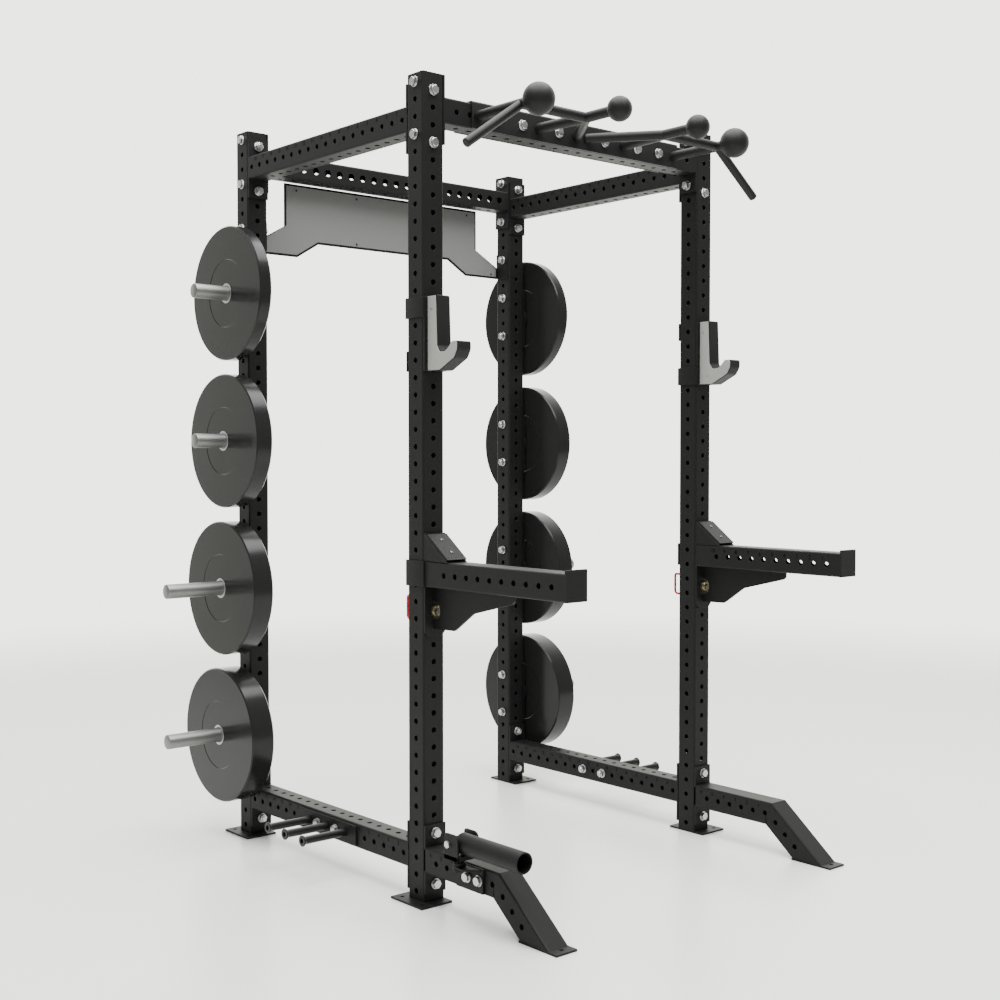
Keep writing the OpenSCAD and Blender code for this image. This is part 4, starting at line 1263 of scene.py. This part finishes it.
for s in SIDES:
    for e in SIDES:
        upright(s, e)
    side_bar(s, "top", SIDE_BAR_Z)
    side_bar(s, "bottom", LOW_BAR_Z)
    front_foot(s)
    spotter_arm(s)
    locking_pin(s)
    jcup(s)
    for i in range(4):
        bumper(s, i)
for e in SIDES:
    cross_bar(e)
caps()
name_plate()
saddle()
grips()
storage()
band_pegs()
pads_and_collars()
landmine_base()
landmine_yoke()
landmine_sleeve()
fasteners()
small_screws()
hole_numbers()

# ---- Floor, light and camera ----

# Metres from the middle at which the floor begins to fade and is gone
FLOOR_SOLID = 3.6
FLOOR_END = 7.5
FLOOR_TONE = (0.80, 0.805, 0.79)
BACKDROP = (0.985, 1.0, 0.92)
BACKDROP_BRIGHT = 3.5
BACKDROP_DIM = 0.4
# How far along the view direction the backdrop is still dim and already bright
BACKDROP_RISE = (0.08, 0.84)
TOP_PLACE = (-0.5, -0.8, 6.0)
TOP_SIZE = 6.0
TOP_POWER = 1100

CAMERA_PLACE = (-3107.7, -3761.6, 1322.8)
CAMERA_YAW = math.radians(40.614)
CAMERA_PITCH = math.radians(1.779)
CAMERA_LENS = 49.94
CAMERA_SENSOR = 36.0


def floor():
    """A pale floor that fades into the backdrop with distance from the cage."""
    bpy.ops.mesh.primitive_circle_add(vertices=96, radius=FLOOR_END, fill_type="NGON")
    disc = bpy.context.object
    disc.name = "floor"
    made = material("floor_white", FLOOR_TONE, 0.3, grain=0.02, grain_scale=40, specular=0.4)
    nodes, links = made.node_tree.nodes, made.node_tree.links
    place = nodes.new("ShaderNodeTexCoord")
    length = nodes.new("ShaderNodeVectorMath")
    length.operation = "LENGTH"
    fade = nodes.new("ShaderNodeMapRange")
    fade.interpolation_type = "SMOOTHSTEP"
    fade.inputs["From Min"].default_value = FLOOR_SOLID
    fade.inputs["From Max"].default_value = FLOOR_END
    clear = nodes.new("ShaderNodeBsdfTransparent")
    mix = nodes.new("ShaderNodeMixShader")
    links.new(place.outputs["Object"], length.inputs[0])
    links.new(length.outputs["Value"], fade.inputs["Value"])
    links.new(fade.outputs["Result"], mix.inputs["Fac"])
    links.new(nodes["Principled BSDF"].outputs["BSDF"], mix.inputs[1])
    links.new(clear.outputs["BSDF"], mix.inputs[2])
    links.new(mix.outputs["Shader"], nodes["Material Output"].inputs["Surface"])
    disc.data.materials.append(made)


def top_light():
    data = bpy.data.lights.new("top", "AREA")
    data.size = TOP_SIZE
    data.energy = TOP_POWER
    light = bpy.data.objects.new("top", data)
    bpy.context.scene.collection.objects.link(light)
    light.location = TOP_PLACE
    light.rotation_euler = (-Vector(TOP_PLACE)).to_track_quat("-Z", "Y").to_euler()


def backdrop():
    """Surroundings that are bright behind the cage and dim behind the camera."""
    world = bpy.data.worlds.new("studio")
    bpy.context.scene.world = world
    world.use_nodes = True
    nodes, links = world.node_tree.nodes, world.node_tree.links
    back = nodes["Background"]
    back.inputs["Color"].default_value = (*BACKDROP, 1)
    place = nodes.new("ShaderNodeTexCoord")
    along = nodes.new("ShaderNodeVectorMath")
    along.operation = "DOT_PRODUCT"
    along.inputs[1].default_value = (math.sin(CAMERA_YAW), math.cos(CAMERA_YAW), 0)
    ramp = nodes.new("ShaderNodeMapRange")
    ramp.interpolation_type = "SMOOTHSTEP"
    ramp.inputs["From Min"].default_value = BACKDROP_RISE[0]
    ramp.inputs["From Max"].default_value = BACKDROP_RISE[1]
    ramp.inputs["To Min"].default_value = BACKDROP_DIM
    ramp.inputs["To Max"].default_value = BACKDROP_BRIGHT
    links.new(place.outputs["Generated"], along.inputs[0])
    links.new(along.outputs["Value"], ramp.inputs["Value"])
    links.new(ramp.outputs["Result"], back.inputs["Strength"])


def camera():
    data = bpy.data.cameras.new("camera")
    data.sensor_width = CAMERA_SENSOR
    data.lens = CAMERA_LENS
    viewer = bpy.data.objects.new("camera", data)
    bpy.context.scene.collection.objects.link(viewer)
    x, y, z = CAMERA_PLACE
    viewer.location = (x * MM, (y + Y_SHIFT) * MM, z * MM)
    viewer.rotation_euler = (math.pi / 2 - CAMERA_PITCH, 0, -CAMERA_YAW)
    bpy.context.scene.camera = viewer


floor()
backdrop()
top_light()
camera()
